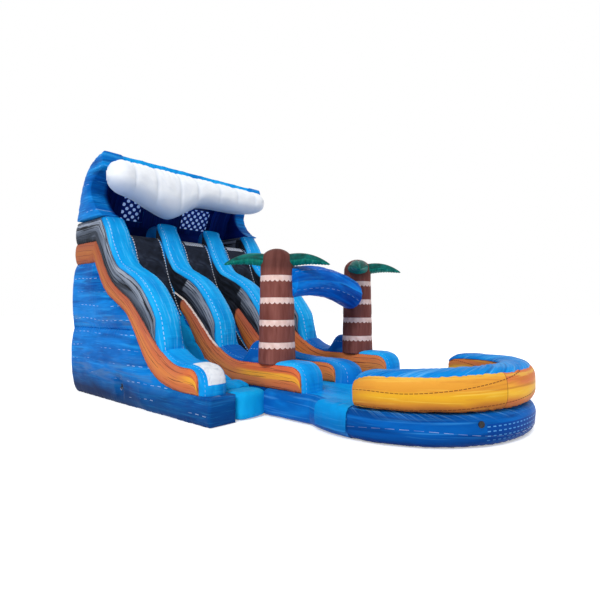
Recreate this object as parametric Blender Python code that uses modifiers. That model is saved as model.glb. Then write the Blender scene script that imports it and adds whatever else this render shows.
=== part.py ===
"""Inflatable water slide with a climb lane, two slide lanes, a wave hood, two palms and a splash pool.

Metres, +Z up. The tower stands at +Y, the pool lies at -Y, and the climb lane is at -X. The origin is on the
ground, under the middle of the whole object. A place on the slide is given as across, measured from the outer
face of the left wall, as depth, measured downhill from the back of the tower, and as height above the ground.
"""

import math

import bmesh
import bpy

# Driving dimensions of the tower
WALL_WIDTH = 0.45
LANE_PITCH = 1.1475
TOWER_DEPTH = 4.38
DECK_EDGE = 1.10
RAIL_FOOT = 3.15
RAIL_HEIGHT = 3.45
DECK_HEIGHT = 3.12
BASE_HEIGHT = 0.42
FOOT_HEIGHT = 1.00
LOW_WALL_HEIGHT = 0.80
LOW_WALL_BLEND = 0.60
SIDE_BULGE = 0.035
BAND_BULGE = 0.02
RAIL_DEPTH = 0.09
CLIMB_RAIL_START = 0.65
LANE_RAIL_START = 0.92
GREY_TIP_SHARE = 0.8
SEAM_HEIGHT = 1.31
SEAM_DEPTH = 0.03
SEAM_ROOT_SHARE = 0.1
CAP_DEPTH = 0.065
CAP_LENGTH = 0.08
LANE_CAP_LENGTH = 0.30
BACK_WALL_DEPTH = 0.33
DECK_DEPTH = 0.30
BED_DEPTH = 0.28
STEP_RISE = 0.06
STEP_COUNT = 5
LINER_DEPTH = 0.015
LINER_START = 0.78
LINER_MARGIN = 0.03
CLIMB_LINER_SHARE = 0.45
SLIDE_LINER_SHARE = 0.72

# The hood, the wave crest and the two windows
HOOD_HEIGHT = 4.62
HOOD_DEPTH = 1.20
HOOD_WALL = 0.28
HOOD_SIDE_WIDTH = 0.30
CREST_DEPTH = 0.40
CREST_HEIGHT = 4.46
CREST_DROP = 0.92
CREST_MARGIN = 0.06
CREST_LOBES = 7
CREST_LOBE_SHARE = 0.12
CREST_END_SHARE = 0.125
CREST_TIP_SHARE = 0.30
WINDOW_SILL = 3.56
WINDOW_HEAD = 4.06
WINDOW_THICKNESS = 0.02
WINDOW_CUT_SHARE = 0.7
LEFT_WINDOW_ACROSS = 0.97
LEFT_WINDOW_WIDTH = 0.50
RIGHT_WINDOW_ACROSS = 2.60
RIGHT_WINDOW_WIDTH = 0.84
DOT_RADIUS = 0.045
DOT_PITCH = 0.17

# The run-out and the pool
LEFT_WALL_END = 4.28
CLIMB_DIVIDER_END = 5.18
LANE_DIVIDER_END = 5.20
RIGHT_WALL_END = 5.20
RUNOUT_SHARE = 0.885
POOL_CENTRE = 6.15
POOL_RADIUS = 1.72
POOL_END_DROP = 0.07
POOL_END_STEPS = 2
POOL_END_SHARE = 0.35
POOL_WALL_WIDTH = 0.50
BAND_TOP = 0.88
RIM_DEPTH = 0.08
FLOOR_DEPTH = 0.08
SHEET_THICKNESS = 0.015
SHEET_REACH = 0.62
SHEET_TOP_SHARE = 0.3
PAD_DEPTH = 0.46
PAD_ROUND = 0.12

# The palms and the arch between them
PALM_DEPTH = 4.34
TRUNK_RADIUS = 0.305
TRUNK_NECK_RADIUS = 0.265
TRUNK_TOP = 2.66
TRUNK_DOME = 0.22
PLINTH_RISE = 0.30
PLINTH_LENGTH = 0.30
ARCH_RADIUS = 0.255
ARCH_HEIGHT = 2.10
ARCH_CAMBER = 0.09
ARCH_DROP = 0.14
ARCH_SETBACK = 0.20
ARCH_OFFSET = 0.13
FROND_HEIGHT = 2.47
FROND_LENGTH = 0.60
FROND_RADIUS = 0.13
FROND_DROOP = 0.07
FROND_RISE = 0.06
FROND_TIP_RADIUS = 0.004
FROND_POWER_SHARE = 1.8
FROND_TIP_SHARE = 0.8
FROND_WIDTH_SHARE = 1.15

# The anchor, the drain plug, the sleeve and the blower
ANCHOR_DEPTH = 1.91
ANCHOR_HEIGHT = 0.30
TAB_WIDTH = 0.08
TAB_HEIGHT = 0.09
TAB_THICKNESS = 0.028
LUG_REACH_SHARE = 0.9
RING_WIRE = 0.004
RING_WIDTH = 0.06
RING_DROP = 0.05
RING_PLAY = 0.001
PLUG_RADIUS = 0.028
PLUG_HEAD_RADIUS = 0.042
PLUG_HEAD = 0.018
PLUG_TOP_SHARE = 0.9
PLUG_EDGE_SHARE = 0.7
PLUG_SHANK = 0.06
PLUG_PLAY = 0.0008
PLUG_HEIGHT = 0.30
PLUG_STEP = 7
SLEEVE_ACROSS = 2.60
SLEEVE_RADIUS = 0.15
SLEEVE_WALL = 0.02
SLEEVE_HEIGHT = 0.30
SLEEVE_LENGTH = 0.62
BLOWER_RADIUS = 0.25
BLOWER_WIDTH = 0.32
BLOWER_WALL = 0.02
BLOWER_HEIGHT = 0.30
SPOUT_LENGTH = 0.42
SPOUT_GRIP = 0.12
INLET_RADIUS = 0.13
GUARD_THICKNESS = 0.012
GUARD_LIP = 0.02
GUARD_OPEN_SHARE = 0.94
IMPELLER_RADIUS = 0.20
IMPELLER_WIDTH = 0.13
BLADE_THICKNESS = 0.012
BLADE_COUNT = 8
BLADE_ROOT_SHARE = 0.8
BLADE_REACH_SHARE = 0.97
BLADE_WIDTH_SHARE = 0.98
HUB_RADIUS = 0.035
SHAFT_RADIUS = 0.010
SHAFT_BORE_SHARE = 1.5
SHAFT_REACH = 0.03
MOTOR_RADIUS = 0.09
MOTOR_LENGTH = 0.11
FOOT_WIDTH = 0.06
FOOT_TOP_SHARE = 0.8
SWITCH_LENGTH = 0.030
SWITCH_WIDTH = 0.016
SWITCH_PROUD = 0.006
SWITCH_DEPTH = 0.012
SWITCH_PLAY = 0.001
SWITCH_PIN = 0.0015
SWITCH_PIN_DEPTH = 0.004

# Clearances
GAP = 0.0003
SEAT_GAP = 0.001
TRUNK_GAP = 0.0006
OVERRUN = 0.05

# Places worked out from the driving dimensions
WALL_CENTRES = [WALL_WIDTH / 2 + LANE_PITCH * lane for lane in range(4)]
TOWER_WIDTH = WALL_CENTRES[3] + WALL_WIDTH / 2
POOL_ACROSS = WALL_CENTRES[2]
OVERALL_WIDTH = POOL_ACROSS + POOL_RADIUS
BLOWER_REACH = SLEEVE_LENGTH + SPOUT_LENGTH + BLOWER_RADIUS
POOL_FRONT = POOL_CENTRE + POOL_RADIUS
LEFT = -OVERALL_WIDTH / 2
BACK = (POOL_FRONT - BLOWER_REACH) / 2
SLIDE_RUN = RAIL_FOOT - DECK_EDGE
RUNOUT_HALF = POOL_RADIUS * RUNOUT_SHARE
RAIL_RISE = RAIL_HEIGHT - BASE_HEIGHT
BED_RISE = DECK_HEIGHT - BASE_HEIGHT

# Side outlines: a share of the run downhill from the deck edge, and a share of the rise above the base
RAIL_SHARES = (
    (0.0, 1.0), (0.10, 0.907), (0.175, 0.808), (0.30, 0.70), (0.44, 0.655), (0.585, 0.613),
    (0.707, 0.56), (0.805, 0.497), (0.90, 0.42), (0.965, 0.345), (1.0, 0.262), (1.0, 0.189),
)
ORANGE_TOP_SHARES = (
    (-0.127, 0.844), (-0.03, 0.758), (0.05, 0.675), (0.156, 0.593), (0.30, 0.53), (0.468, 0.477),
    (0.595, 0.417), (0.707, 0.351), (0.805, 0.291), (0.888, 0.242), (0.951, 0.209), (1.0, 0.186),
)
ORANGE_FOOT_SHARES = (
    (-0.146, 0.709), (-0.054, 0.619), (0.01, 0.56), (0.117, 0.497), (0.254, 0.454), (0.44, 0.387),
    (0.537, 0.321), (0.624, 0.242), (0.707, 0.166), (0.805, 0.096), (0.902, 0.053), (1.0, 0.026),
)
BED_SHARES = (
    (0.0, 1.0), (0.06, 0.981), (0.117, 0.918), (0.176, 0.814), (0.244, 0.688), (0.332, 0.565),
    (0.424, 0.45), (0.527, 0.338), (0.659, 0.223), (0.805, 0.123), (0.976, 0.052), (1.171, 0.011),
    (1.366, 0.0),
)
LOW_WALL_SHARES = (0.0, 0.25, 0.5, 1.0)

# Cross-sections of a wall strip: a share of its half width, and a share of its height
FLAT_SHARES = ((-1, 0), (-1, 1), (1, 1), (1, 0))
BAND_SHARES = ((-1, 0), (-1, 0.5), (-1, 1), (1, 1), (1, 0.5), (1, 0))
LOWER_SHARES = (
    (-1, 0), (-1, 0.12), (-1, 0.3), (-1, 0.5), (-1, 0.7), (-1, 0.88), (-1, 1),
    (1, 1), (1, 0.88), (1, 0.7), (1, 0.5), (1, 0.3), (1, 0.12), (1, 0),
)
CROWN_SHARES = ((-1, 0), (-1, 0.35), (-0.62, 0.85), (0, 1), (0.62, 0.85), (1, 0.35), (1, 0))

# The hood from the side, and the front edge of its two side panels: shares of its depth and of its rise
HOOD_SHARES = ((0.0, 0.0), (0.05, 0.14), (0.17, 0.46), (0.33, 0.70), (0.56, 0.88), (0.79, 0.966), (1.0, 1.0))
HOOD_FRONT_SHARES = (
    (0.93, 0.0), (0.80, 0.07), (0.66, 0.19), (0.56, 0.34),
    (0.53, 0.48), (0.60, 0.60), (0.77, 0.69), (1.0, 0.76),
)
# The lower edge of the wave crest from the front: a share of the tower's width, and a share of its drop
CREST_EDGE_SHARES = (
    (0.0, 0.60), (0.12, 0.70), (0.20, 0.90), (0.30, 1.0),
    (0.41, 0.72), (0.52, 0.60), (0.80, 0.58), (1.0, 0.46),
)
# The side of the pool's lower tube: a share of its wall's width, and a share of its height
SKIRT_SHARES = ((0.0, 0.0), (0.95, 0.0), (1.0, 0.28), (0.985, 0.74), (0.88, 1.0), (0.0, 1.0))
POOL_BAND_SHARES = ((0.0, 0.0), (0.9, 0.0), (0.985, 0.22), (1.0, 0.5), (0.97, 0.78), (0.88, 1.0), (0.0, 1.0))
RIM_SHARES = ((0.88, 0.0), (0.0, 0.0), (0.14, 0.7), (0.45, 1.0), (0.74, 0.7))
# The rocker switch from the side: a share of half its length, and a share of how far it stands out
SWITCH_SHARES = ((-1, 0.0), (-0.6, -1.6), (0.6, -1.6), (1, 0.0), (1, 1.0), (0.0, 0.5), (-1, 1.0))
# The directions of each palm's fronds, as a share of a turn from +X
NEAR_FROND_TURN_SHARES = (0.865, 0.366, 0.116)
FAR_FROND_TURN_SHARES = (0.865, 0.585, 0.13)
TURN_STEPS = 24
RUNOUT_STEPS = 6


def empty_scene():
    for thing in list(bpy.data.objects):
        bpy.data.objects.remove(thing, do_unlink=True)


def new_collection(name):
    group = bpy.data.collections.new(name)
    bpy.context.scene.collection.children.link(group)
    return group


def finish(name, colour, roughness=0.42, metallic=0.0):
    """A plain material in the colour of a part."""
    made = bpy.data.materials.new(name)
    made.use_nodes = True
    shader = made.node_tree.nodes["Principled BSDF"]
    shader.inputs["Base Color"].default_value = (*colour, 1.0)
    shader.inputs["Roughness"].default_value = roughness
    shader.inputs["Metallic"].default_value = metallic
    made.diffuse_color = (*colour, 1.0)
    return made


def at(across, depth, height):
    """The world place of a point given across, downhill from the back, and above the ground."""
    return (LEFT + across, BACK - depth, height)


def smooth(points, per_span=6):
    """Points along the Catmull-Rom curve through the given ones."""
    ends = [points[0], *points, points[-1]]
    curve = []
    for span in range(len(points) - 1):
        a, b, c, d = ends[span:span + 4]
        for step in range(per_span):
            t = step / per_span
            curve.append(tuple(
                q + t * (r - p + t * (2 * p - 5 * q + 4 * r - s + t * (3 * q - p - 3 * r + s))) / 2
                for p, q, r, s in zip(a, b, c, d)
            ))
    curve.append(tuple(points[-1]))
    return curve


def resample(line, count):
    """The given number of points, evenly spaced along a line."""
    lengths = [0.0]
    for a, b in zip(line, line[1:]):
        lengths.append(lengths[-1] + math.dist(a, b))
    spaced = []
    leg = 0
    for step in range(count):
        want = lengths[-1] * step / (count - 1)
        while leg < len(line) - 2 and lengths[leg + 1] < want:
            leg += 1
        share = (want - lengths[leg]) / (lengths[leg + 1] - lengths[leg])
        spaced.append(tuple(p + (q - p) * share for p, q in zip(line[leg], line[leg + 1])))
    return spaced


def from_depth(line, depth):
    """The part of a line that lies at or past a depth, starting with the point at that depth."""
    for step, (a, b) in enumerate(zip(line, line[1:])):
        if b[0] > depth:
            share = (depth - a[0]) / (b[0] - a[0])
            height = a[1] + (b[1] - a[1]) * share
            return [(depth, height), *line[step + 1:]]
    return line


def offset(line, distance):
    """A side outline moved away from itself, upwards where it runs downhill."""
    moved = []
    for step, here in enumerate(line):
        before = line[max(step - 1, 0)]
        after = line[min(step + 1, len(line) - 1)]
        run = after[0] - before[0]
        rise = after[1] - before[1]
        length = math.hypot(run, rise)
        moved.append((here[0] - rise / length * distance, here[1] + run / length * distance))
    return moved


def lifted(inner, outer):
    """The inner line, moved towards the outer one by the gap between two pieces."""
    moved = []
    for a, b in zip(inner, outer):
        length = math.dist(a, b)
        moved.append(tuple(p + (q - p) * GAP / length for p, q in zip(a, b)))
    return moved


def add_object(name, mesh, material):
    made = bpy.data.objects.new(name, mesh)
    PARTS.objects.link(made)
    mesh.materials.append(material)
    return made


def soften(mesh, angle=40.0):
    mesh.shade_smooth()
    mesh.set_sharp_from_angle(angle=math.radians(angle))


def loft(name, rings, material, closed=False):
    """One closed body through rings of points, with a flat cap on the first and the last ring."""
    count = len(rings[0])
    mesh = bpy.data.meshes.new(name)
    points = [point for ring in rings for point in ring]
    faces = []
    spans = len(rings) if closed else len(rings) - 1
    for span in range(spans):
        here = span * count
        there = (span + 1) % len(rings) * count
        for step in range(count):
            following = (step + 1) % count
            faces.append((here + step, here + following, there + following))
            faces.append((here + step, there + following, there + step))
    if not closed:
        faces.append(tuple(range(count)))
        faces.append(tuple(range(len(points) - count, len(points))))
    mesh.from_pydata(points, [], faces)
    cage = bmesh.new()
    cage.from_mesh(mesh)
    bmesh.ops.recalc_face_normals(cage, faces=cage.faces)
    cage.to_mesh(mesh)
    cage.free()
    soften(mesh)
    return add_object(name, mesh, material)


def strip(name, centre, width, inner, outer, section, material, bulge=(0.0, 0.0)):
    """A wall strip between two side outlines. The middle of its sides swells by the two bulges."""
    rings = []
    for (depth_a, height_a), (depth_b, height_b) in zip(inner, outer):
        ring = []
        for side_share, rise_share in section:
            swell = 4 * rise_share * (1 - rise_share) * bulge[side_share > 0]
            across = centre + side_share * (width / 2 + swell)
            depth = depth_a + (depth_b - depth_a) * rise_share
            height = height_a + (height_b - height_a) * rise_share
            ring.append(at(across, depth, height))
        rings.append(ring)
    return loft(name, rings, material)


def block(name, low, high, material):
    """A box between two corners, each given across, downhill and up."""
    bpy.ops.mesh.primitive_cube_add(size=1)
    made = bpy.context.active_object
    made.name = name
    made.data.name = name
    corner_a = at(*low)
    corner_b = at(*high)
    for point in made.data.vertices:
        point.co = [b if share > 0 else a for share, a, b in zip(point.co, corner_a, corner_b)]
    for group in list(made.users_collection):
        group.objects.unlink(made)
    PARTS.objects.link(made)
    made.data.materials.append(material)
    bpy.context.view_layer.update()
    made.data.update()
    fix_faces(made.data)
    return made


def fix_faces(mesh):
    cage = bmesh.new()
    cage.from_mesh(mesh)
    bmesh.ops.recalc_face_normals(cage, faces=cage.faces)
    cage.to_mesh(mesh)
    cage.free()


def round_bar(name, place, axis, radius, length, material, sides=24, end_radius=None):
    """A cylinder or cone about X, Y or Z, centred on a world place."""
    cage = bmesh.new()
    bmesh.ops.create_cone(
        cage, cap_ends=True, segments=sides, radius1=radius,
        radius2=radius if end_radius is None else end_radius, depth=length,
    )
    mesh = bpy.data.meshes.new(name)
    cage.to_mesh(mesh)
    cage.free()
    soften(mesh)
    made = add_object(name, mesh, material)
    made.location = place
    if axis == "X":
        made.rotation_euler = (0.0, math.pi / 2, 0.0)
    if axis == "Y":
        made.rotation_euler = (math.pi / 2, 0.0, 0.0)
    return made


def as_cutter(thing):
    for group in list(thing.users_collection):
        group.objects.unlink(thing)
    CUTTERS.objects.link(thing)
    thing.hide_render = True
    thing.display_type = "WIRE"
    return thing


def combine(target, other, operation="DIFFERENCE"):
    as_cutter(other)
    change = target.modifiers.new(other.name, "BOOLEAN")
    change.operation = operation
    change.object = other
    return target


def tower_line(shares, start_height=None):
    """The side outline of a table of shares, level from the back of the tower to its first point."""
    line = [(DECK_EDGE + SLIDE_RUN * run, BASE_HEIGHT + RAIL_RISE * rise) for run, rise in shares]
    return [(0.0, line[0][1]), *smooth(line)]


def low_wall_lines(seat):
    """The top and the bottom outline of a low wall, from the rail's foot to the seat of its end cap."""
    foot_bottom = BASE_HEIGHT + RAIL_RISE * ORANGE_FOOT_SHARES[-1][1]
    top = []
    bottom = []
    for share in LOW_WALL_SHARES:
        depth = RAIL_FOOT + LOW_WALL_BLEND * share
        fade = (1 - share) ** 2
        top.append((depth, LOW_WALL_HEIGHT + (FOOT_HEIGHT - LOW_WALL_HEIGHT) * fade))
        bottom.append((depth, BASE_HEIGHT + (foot_bottom - BASE_HEIGHT) * fade))
    top.append((seat, LOW_WALL_HEIGHT))
    bottom.append((seat, BASE_HEIGHT))
    return top, bottom


def wall_lines(start, stations=20):
    """The four side outlines of a wall's slope: rail crest, rail bottom, orange top and orange bottom."""
    crest = resample(from_depth(tower_line(RAIL_SHARES), start), stations)
    crest = [(min(depth, RAIL_FOOT), height) for depth, height in crest]
    under = [(max(depth, start), height) for depth, height in offset(crest, -RAIL_DEPTH)]
    top = resample(from_depth(tower_line(ORANGE_TOP_SHARES), start), stations)
    top[-1] = (RAIL_FOOT, FOOT_HEIGHT)
    bottom = resample(from_depth(tower_line(ORANGE_FOOT_SHARES), start), stations)
    under[-2] = top[-2]
    under[-1] = tuple((p + q) / 2 for p, q in zip(top[-2], top[-1]))
    return crest, under, top, bottom


def cap_lines(end, cap_length, plinth):
    """The bottom and top outlines of the blue panel on a low wall, which wraps down over the wall's end."""
    seat = end - cap_length
    top, _ = low_wall_lines(seat)
    inner = list(top)
    outer = [(depth, height + CAP_DEPTH) for depth, height in top]
    outer[0] = (RAIL_FOOT + GAP, outer[0][1])
    inner[0] = (RAIL_FOOT + GAP, inner[0][1])
    if plinth:
        trunk_back = PALM_DEPTH - TRUNK_RADIUS - GAP
        rise = LOW_WALL_HEIGHT + CAP_DEPTH
        for share, lift in ((0.0, 0.0), (0.25, 0.6), (0.6, 0.92), (0.97, 1.0), (1.0, 0.0)):
            depth = trunk_back - PLINTH_LENGTH * (1 - share)
            inner.insert(-1, (depth, LOW_WALL_HEIGHT))
            outer.insert(-1, (depth, rise + PLINTH_RISE * lift))
        inner.insert(-1, (PALM_DEPTH + TRUNK_RADIUS, LOW_WALL_HEIGHT))
        outer.insert(-1, (PALM_DEPTH + TRUNK_RADIUS, rise))
    outer[-1] = (seat, outer[-1][1])
    inner = [(depth, height + GAP) for depth, height in inner]
    inner[-1] = (seat + GAP, inner[-1][1])
    tall = LOW_WALL_HEIGHT - BASE_HEIGHT
    for share, reach in ((0.82, 0.68), (0.5, 0.95), (0.2, 1.0), (0.0, 0.98)):
        height = BASE_HEIGHT + GAP + tall * share
        inner.append((seat + GAP, height))
        outer.append((seat + cap_length * reach, height + CAP_DEPTH * share))
    return inner, outer


def side_bulge(index):
    """Only the outer face of an outer wall's lower part swells."""
    return ((SIDE_BULGE, 0.0), (0.0, 0.0), (0.0, 0.0), (0.0, SIDE_BULGE))[index]


def build_wall(index, name, end, cap_length, rail_start, plinth, finishes):
    """One wall: its lower part, its orange band, its grey band, its rail and its end cap."""
    centre = WALL_CENTRES[index]
    inner_wall = index in (1, 2)
    start = DECK_EDGE + GAP if inner_wall else 0.0
    crest, under, top, bottom = wall_lines(start)
    low_top, low_bottom = low_wall_lines(end - cap_length)
    swell = (BAND_BULGE, BAND_BULGE)
    full_top = top + low_top[1:]
    full_bottom = bottom[:-1] + low_bottom
    strip(
        f"{name}_orange_band", centre, WALL_WIDTH, lifted(full_bottom, full_top), full_top,
        BAND_SHARES, finishes["orange"], swell,
    )
    grey_foot = lifted(top[:-2], under[:-2])
    grey_top = under[:-2]
    tip = tuple(p + (q - p) * GREY_TIP_SHARE for p, q in zip(top[-3], top[-2]))
    grey_foot.append((tip[0], tip[1] + GAP))
    grey_top.append(tuple(p + (q - p) * GREY_TIP_SHARE for p, q in zip(under[-3], under[-2])))
    strip(
        f"{name}_grey_band", centre, WALL_WIDTH, grey_foot, grey_top, BAND_SHARES, finishes["grey"], swell,
    )
    rail_under = lifted(under, crest)
    rail_crest = list(crest)
    rail_under[-1] = (under[-1][0], under[-1][1] + GAP * 2)
    rail_crest[-1] = (RAIL_FOOT, FOOT_HEIGHT + GAP * 2)
    if inner_wall:
        seat = DECK_HEIGHT + GAP
        step = DECK_EDGE - GAP
        rail_under = [(rail_start, seat), (step - GAP, seat), (step, rail_under[0][1]), *rail_under]
        level = [(rail_start, RAIL_HEIGHT), (step - GAP, RAIL_HEIGHT), (step, RAIL_HEIGHT)]
        rail_crest = [*level, *rail_crest]
    strip(f"{name}_rail", centre, WALL_WIDTH, rail_under, rail_crest, CROWN_SHARES, finishes["rail"])
    cap_inner, cap_outer = cap_lines(end, cap_length, plinth)
    strip(f"{name}_end_cap", centre, WALL_WIDTH, cap_inner, cap_outer, CROWN_SHARES, finishes["blue"])
    if inner_wall:
        under_deck = DECK_HEIGHT - DECK_DEPTH - GAP
        sloped = [point for point in full_bottom if point[1] < under_deck]
        outline = [(BACK_WALL_DEPTH + GAP, under_deck), (DECK_EDGE - DECK_DEPTH, under_deck), *sloped]
        outline.append((TOWER_DEPTH, BASE_HEIGHT))
        outline = [point for point in outline if point[0] <= TOWER_DEPTH]
    else:
        outline = list(full_bottom)
        if outline[-1][0] < TOWER_DEPTH:
            outline.append((TOWER_DEPTH, BASE_HEIGHT))
        outline = [point for point in outline if point[0] <= TOWER_DEPTH]
    ground = [(depth, 0.0) for depth, _ in outline]
    section = FLAT_SHARES if inner_wall else LOWER_SHARES
    return strip(
        f"{name}_lower_wall", centre, WALL_WIDTH, ground, outline, section, finishes["blue"],
        side_bulge(index),
    )


def cut_seam(wall, outer_face, side):
    """A shallow groove along the seam between the upper and the lower chamber of an outer wall."""
    reach = SEAM_DEPTH * math.sqrt(2)
    groove = block(
        f"{wall.name}_seam_cutter",
        (outer_face - reach, -OVERRUN, SEAM_HEIGHT - SEAM_DEPTH),
        (outer_face + reach, TOWER_DEPTH / 2, SEAM_HEIGHT + SEAM_DEPTH), PLAIN,
    )
    for point in groove.data.vertices:
        inward = (point.co.x - LEFT - outer_face) * side < 0
        if inward:
            point.co.z = SEAM_HEIGHT + (point.co.z - SEAM_HEIGHT) * SEAM_ROOT_SHARE
    combine(wall, groove)


def bed_line():
    """The top of a slide bed from the deck edge to the run-out."""
    line = [(DECK_EDGE + SLIDE_RUN * run, BASE_HEIGHT + BED_RISE * rise) for run, rise in BED_SHARES]
    return smooth(line, 4)


def build_bed(name, index, finishes, steps, liner_share):
    """A sloped bed between two walls, with step rolls on the climb lane, and its dark sheet."""
    centre = (WALL_CENTRES[index] + WALL_CENTRES[index + 1]) / 2
    width = LANE_PITCH - WALL_WIDTH - (BAND_BULGE + GAP) * 2
    end = TOWER_DEPTH - PAD_DEPTH - GAP if steps else TOWER_DEPTH
    slope = resample([*bed_line(), (TOWER_DEPTH, BASE_HEIGHT)], 44 if steps else 26)
    top = [point for point in slope if point[0] < end]
    top.append((end, BASE_HEIGHT))
    top[0] = (DECK_EDGE + GAP, DECK_HEIGHT)
    build_liner(name.replace("bed", "liner"), centre, top[1:int(len(slope) * liner_share)], finishes)
    under = [(max(depth, DECK_EDGE + GAP), max(height, 0.0)) for depth, height in offset(top, -BED_DEPTH)]
    under[0] = (DECK_EDGE + GAP, DECK_HEIGHT - BED_DEPTH / 2)
    under[-1] = (end, 0.0)
    if steps:
        rolls = offset(top, STEP_RISE)
        first = len(top) // 2
        for step in range(first, len(top)):
            share = (step - first) / (len(top) - 1 - first)
            swell = abs(math.sin(math.pi * STEP_COUNT * share))
            top[step] = tuple(p + (q - p) * swell for p, q in zip(top[step], rolls[step]))
    strip(name, centre, width, under, top, FLAT_SHARES, finishes["light"])


def build_liner(name, centre, slope, finishes):
    """The dark sheet on the upper part of a bed, from the deck over the deck's edge."""
    width = LANE_PITCH - WALL_WIDTH - (BAND_BULGE + LINER_MARGIN) * 2
    path = [(LINER_START, DECK_HEIGHT), (DECK_EDGE - OVERRUN, DECK_HEIGHT), (DECK_EDGE, DECK_HEIGHT), *slope]
    inner = offset(path, GAP * 2)
    outer = offset(path, GAP * 2 + LINER_DEPTH)
    strip(name, centre, width, inner, outer, FLAT_SHARES, finishes["liner"])


def build_tower(finishes):
    near = WALL_WIDTH + BAND_BULGE + GAP
    far = TOWER_WIDTH - near
    block("back_wall", (near, 0.0, 0.0), (far, BACK_WALL_DEPTH, RAIL_HEIGHT), finishes["blue"])
    block(
        "platform_deck", (near, BACK_WALL_DEPTH + GAP, DECK_HEIGHT - DECK_DEPTH),
        (far, DECK_EDGE, DECK_HEIGHT), finishes["liner"],
    )
    build_bed("climb_bed", 0, finishes, True, CLIMB_LINER_SHARE)
    build_bed("left_slide_bed", 1, finishes, False, SLIDE_LINER_SHARE)
    build_bed("right_slide_bed", 2, finishes, False, SLIDE_LINER_SHARE)


def hood_point(share):
    return (HOOD_DEPTH * share[0], RAIL_HEIGHT + GAP + (HOOD_HEIGHT - RAIL_HEIGHT) * share[1])


def hood_outlines(stations=14):
    outer = resample(smooth([hood_point(share) for share in HOOD_SHARES]), stations)
    inner = offset(outer, -HOOD_WALL)
    inner[0] = (outer[0][0] + HOOD_WALL, outer[0][1])
    inner[-1] = (HOOD_DEPTH, HOOD_HEIGHT - HOOD_WALL)
    return inner, outer


def window_frame(across, width):
    """The plate of a window, leaning with the hood's back, between its sill and its head."""
    low_depth = HOOD_WALL / 2 + DOT_RADIUS
    lean = (WINDOW_HEAD - WINDOW_SILL) / 2
    edge = width / 2 - GAP
    rings = []
    for side in (-edge, edge):
        rings.append([
            at(across + side, low_depth, WINDOW_SILL + GAP),
            at(across + side, low_depth + WINDOW_THICKNESS, WINDOW_SILL + GAP),
            at(across + side, low_depth + lean + WINDOW_THICKNESS, WINDOW_HEAD - GAP),
            at(across + side, low_depth + lean, WINDOW_HEAD - GAP),
        ])
    return rings, low_depth, lean


def perforated_window(name, across, width, material):
    """A leaning plate with staggered round holes, one cutter for each hole."""
    rings, low_depth, lean = window_frame(across, width)
    plate = loft(name, rings, material)
    rows = int((WINDOW_HEAD - WINDOW_SILL) / DOT_PITCH * 2)
    columns = int(width / DOT_PITCH)
    cage = bmesh.new()
    for row in range(rows):
        share = (row + 0.5) / rows
        height = WINDOW_SILL + (WINDOW_HEAD - WINDOW_SILL) * share
        stagger = DOT_PITCH / 4 if row % 2 else -DOT_PITCH / 4
        for column in range(columns):
            place = across + (column - (columns - 1) / 2) * DOT_PITCH + stagger
            made = bmesh.ops.create_cone(
                cage, cap_ends=True, segments=6, radius1=DOT_RADIUS, radius2=DOT_RADIUS, depth=HOOD_WALL,
            )
            middle = at(place, low_depth + lean * share, height)
            for corner in made["verts"]:
                x, y, z = corner.co
                corner.co = (middle[0] + x, middle[1] + z, middle[2] + y)
    holes = bpy.data.meshes.new(f"{name}_dots")
    cage.to_mesh(holes)
    cage.free()
    fix_faces(holes)
    combine(plate, add_object(f"{name}_dot_cutter", holes, PLAIN))


def build_hood(finishes):
    inner, outer = hood_outlines()
    clear = HOOD_SIDE_WIDTH + BAND_BULGE + GAP
    middle = TOWER_WIDTH / 2
    shell = strip("hood_shell", middle, TOWER_WIDTH - clear * 2, inner, outer, FLAT_SHARES, finishes["blue"])
    for name, across, width in (
        ("left", LEFT_WINDOW_ACROSS, LEFT_WINDOW_WIDTH), ("right", RIGHT_WINDOW_ACROSS, RIGHT_WINDOW_WIDTH),
    ):
        hole = block(
            f"{name}_window_cutter", (across - width / 2, -OVERRUN, WINDOW_SILL),
            (across + width / 2, HOOD_DEPTH * WINDOW_CUT_SHARE, WINDOW_HEAD), PLAIN,
        )
        combine(shell, hole)
        perforated_window(f"{name}_window", across, width, finishes["navy"])
    front = resample(smooth([hood_point(share) for share in HOOD_FRONT_SHARES]), len(outer))
    for name, centre in (("left", HOOD_SIDE_WIDTH / 2), ("right", TOWER_WIDTH - HOOD_SIDE_WIDTH / 2)):
        strip(
            f"{name}_hood_side", centre, HOOD_SIDE_WIDTH, front, outer, BAND_SHARES, finishes["blue"],
            (BAND_BULGE, BAND_BULGE),
        )
    build_crest(finishes)


def build_crest(finishes):
    """The foam crest: rings across the tower, with the lower edge of a wave and a row of swollen lobes."""
    edge = smooth([(share, drop) for share, drop in CREST_EDGE_SHARES], 4)
    stations = resample([(share * TOWER_WIDTH, drop) for share, drop in edge], CREST_LOBES * 4 + 1)
    length = TOWER_WIDTH - CREST_MARGIN * 2
    rings = []
    for step, (across, drop_share) in enumerate(stations):
        share = across / TOWER_WIDTH
        lobe = 1 - CREST_LOBE_SHARE * (1 - abs(math.sin(math.pi * CREST_LOBES * step / (len(stations) - 1))))
        near = min(share, 1 - share, CREST_END_SHARE) / CREST_END_SHARE
        close = CREST_TIP_SHARE + (1 - CREST_TIP_SHARE) * math.sqrt(near)
        half_drop = CREST_DROP * drop_share / 2 * close
        middle = CREST_HEIGHT - CREST_DROP * drop_share / 2
        ring = []
        for corner in range(12):
            turn = 2 * math.pi * corner / 12
            reach = CREST_DEPTH * max(0.0, -math.cos(turn)) * lobe * close
            height = middle + half_drop * math.sin(turn)
            ring.append(at(CREST_MARGIN + length * share, HOOD_DEPTH + GAP + reach, height))
        rings.append(ring)
    loft("wave_crest", rings, finishes["foam"])


def pool_point(turn, radius, height):
    return at(POOL_ACROSS - radius * math.cos(turn), POOL_CENTRE + radius * math.sin(turn), height)


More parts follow.
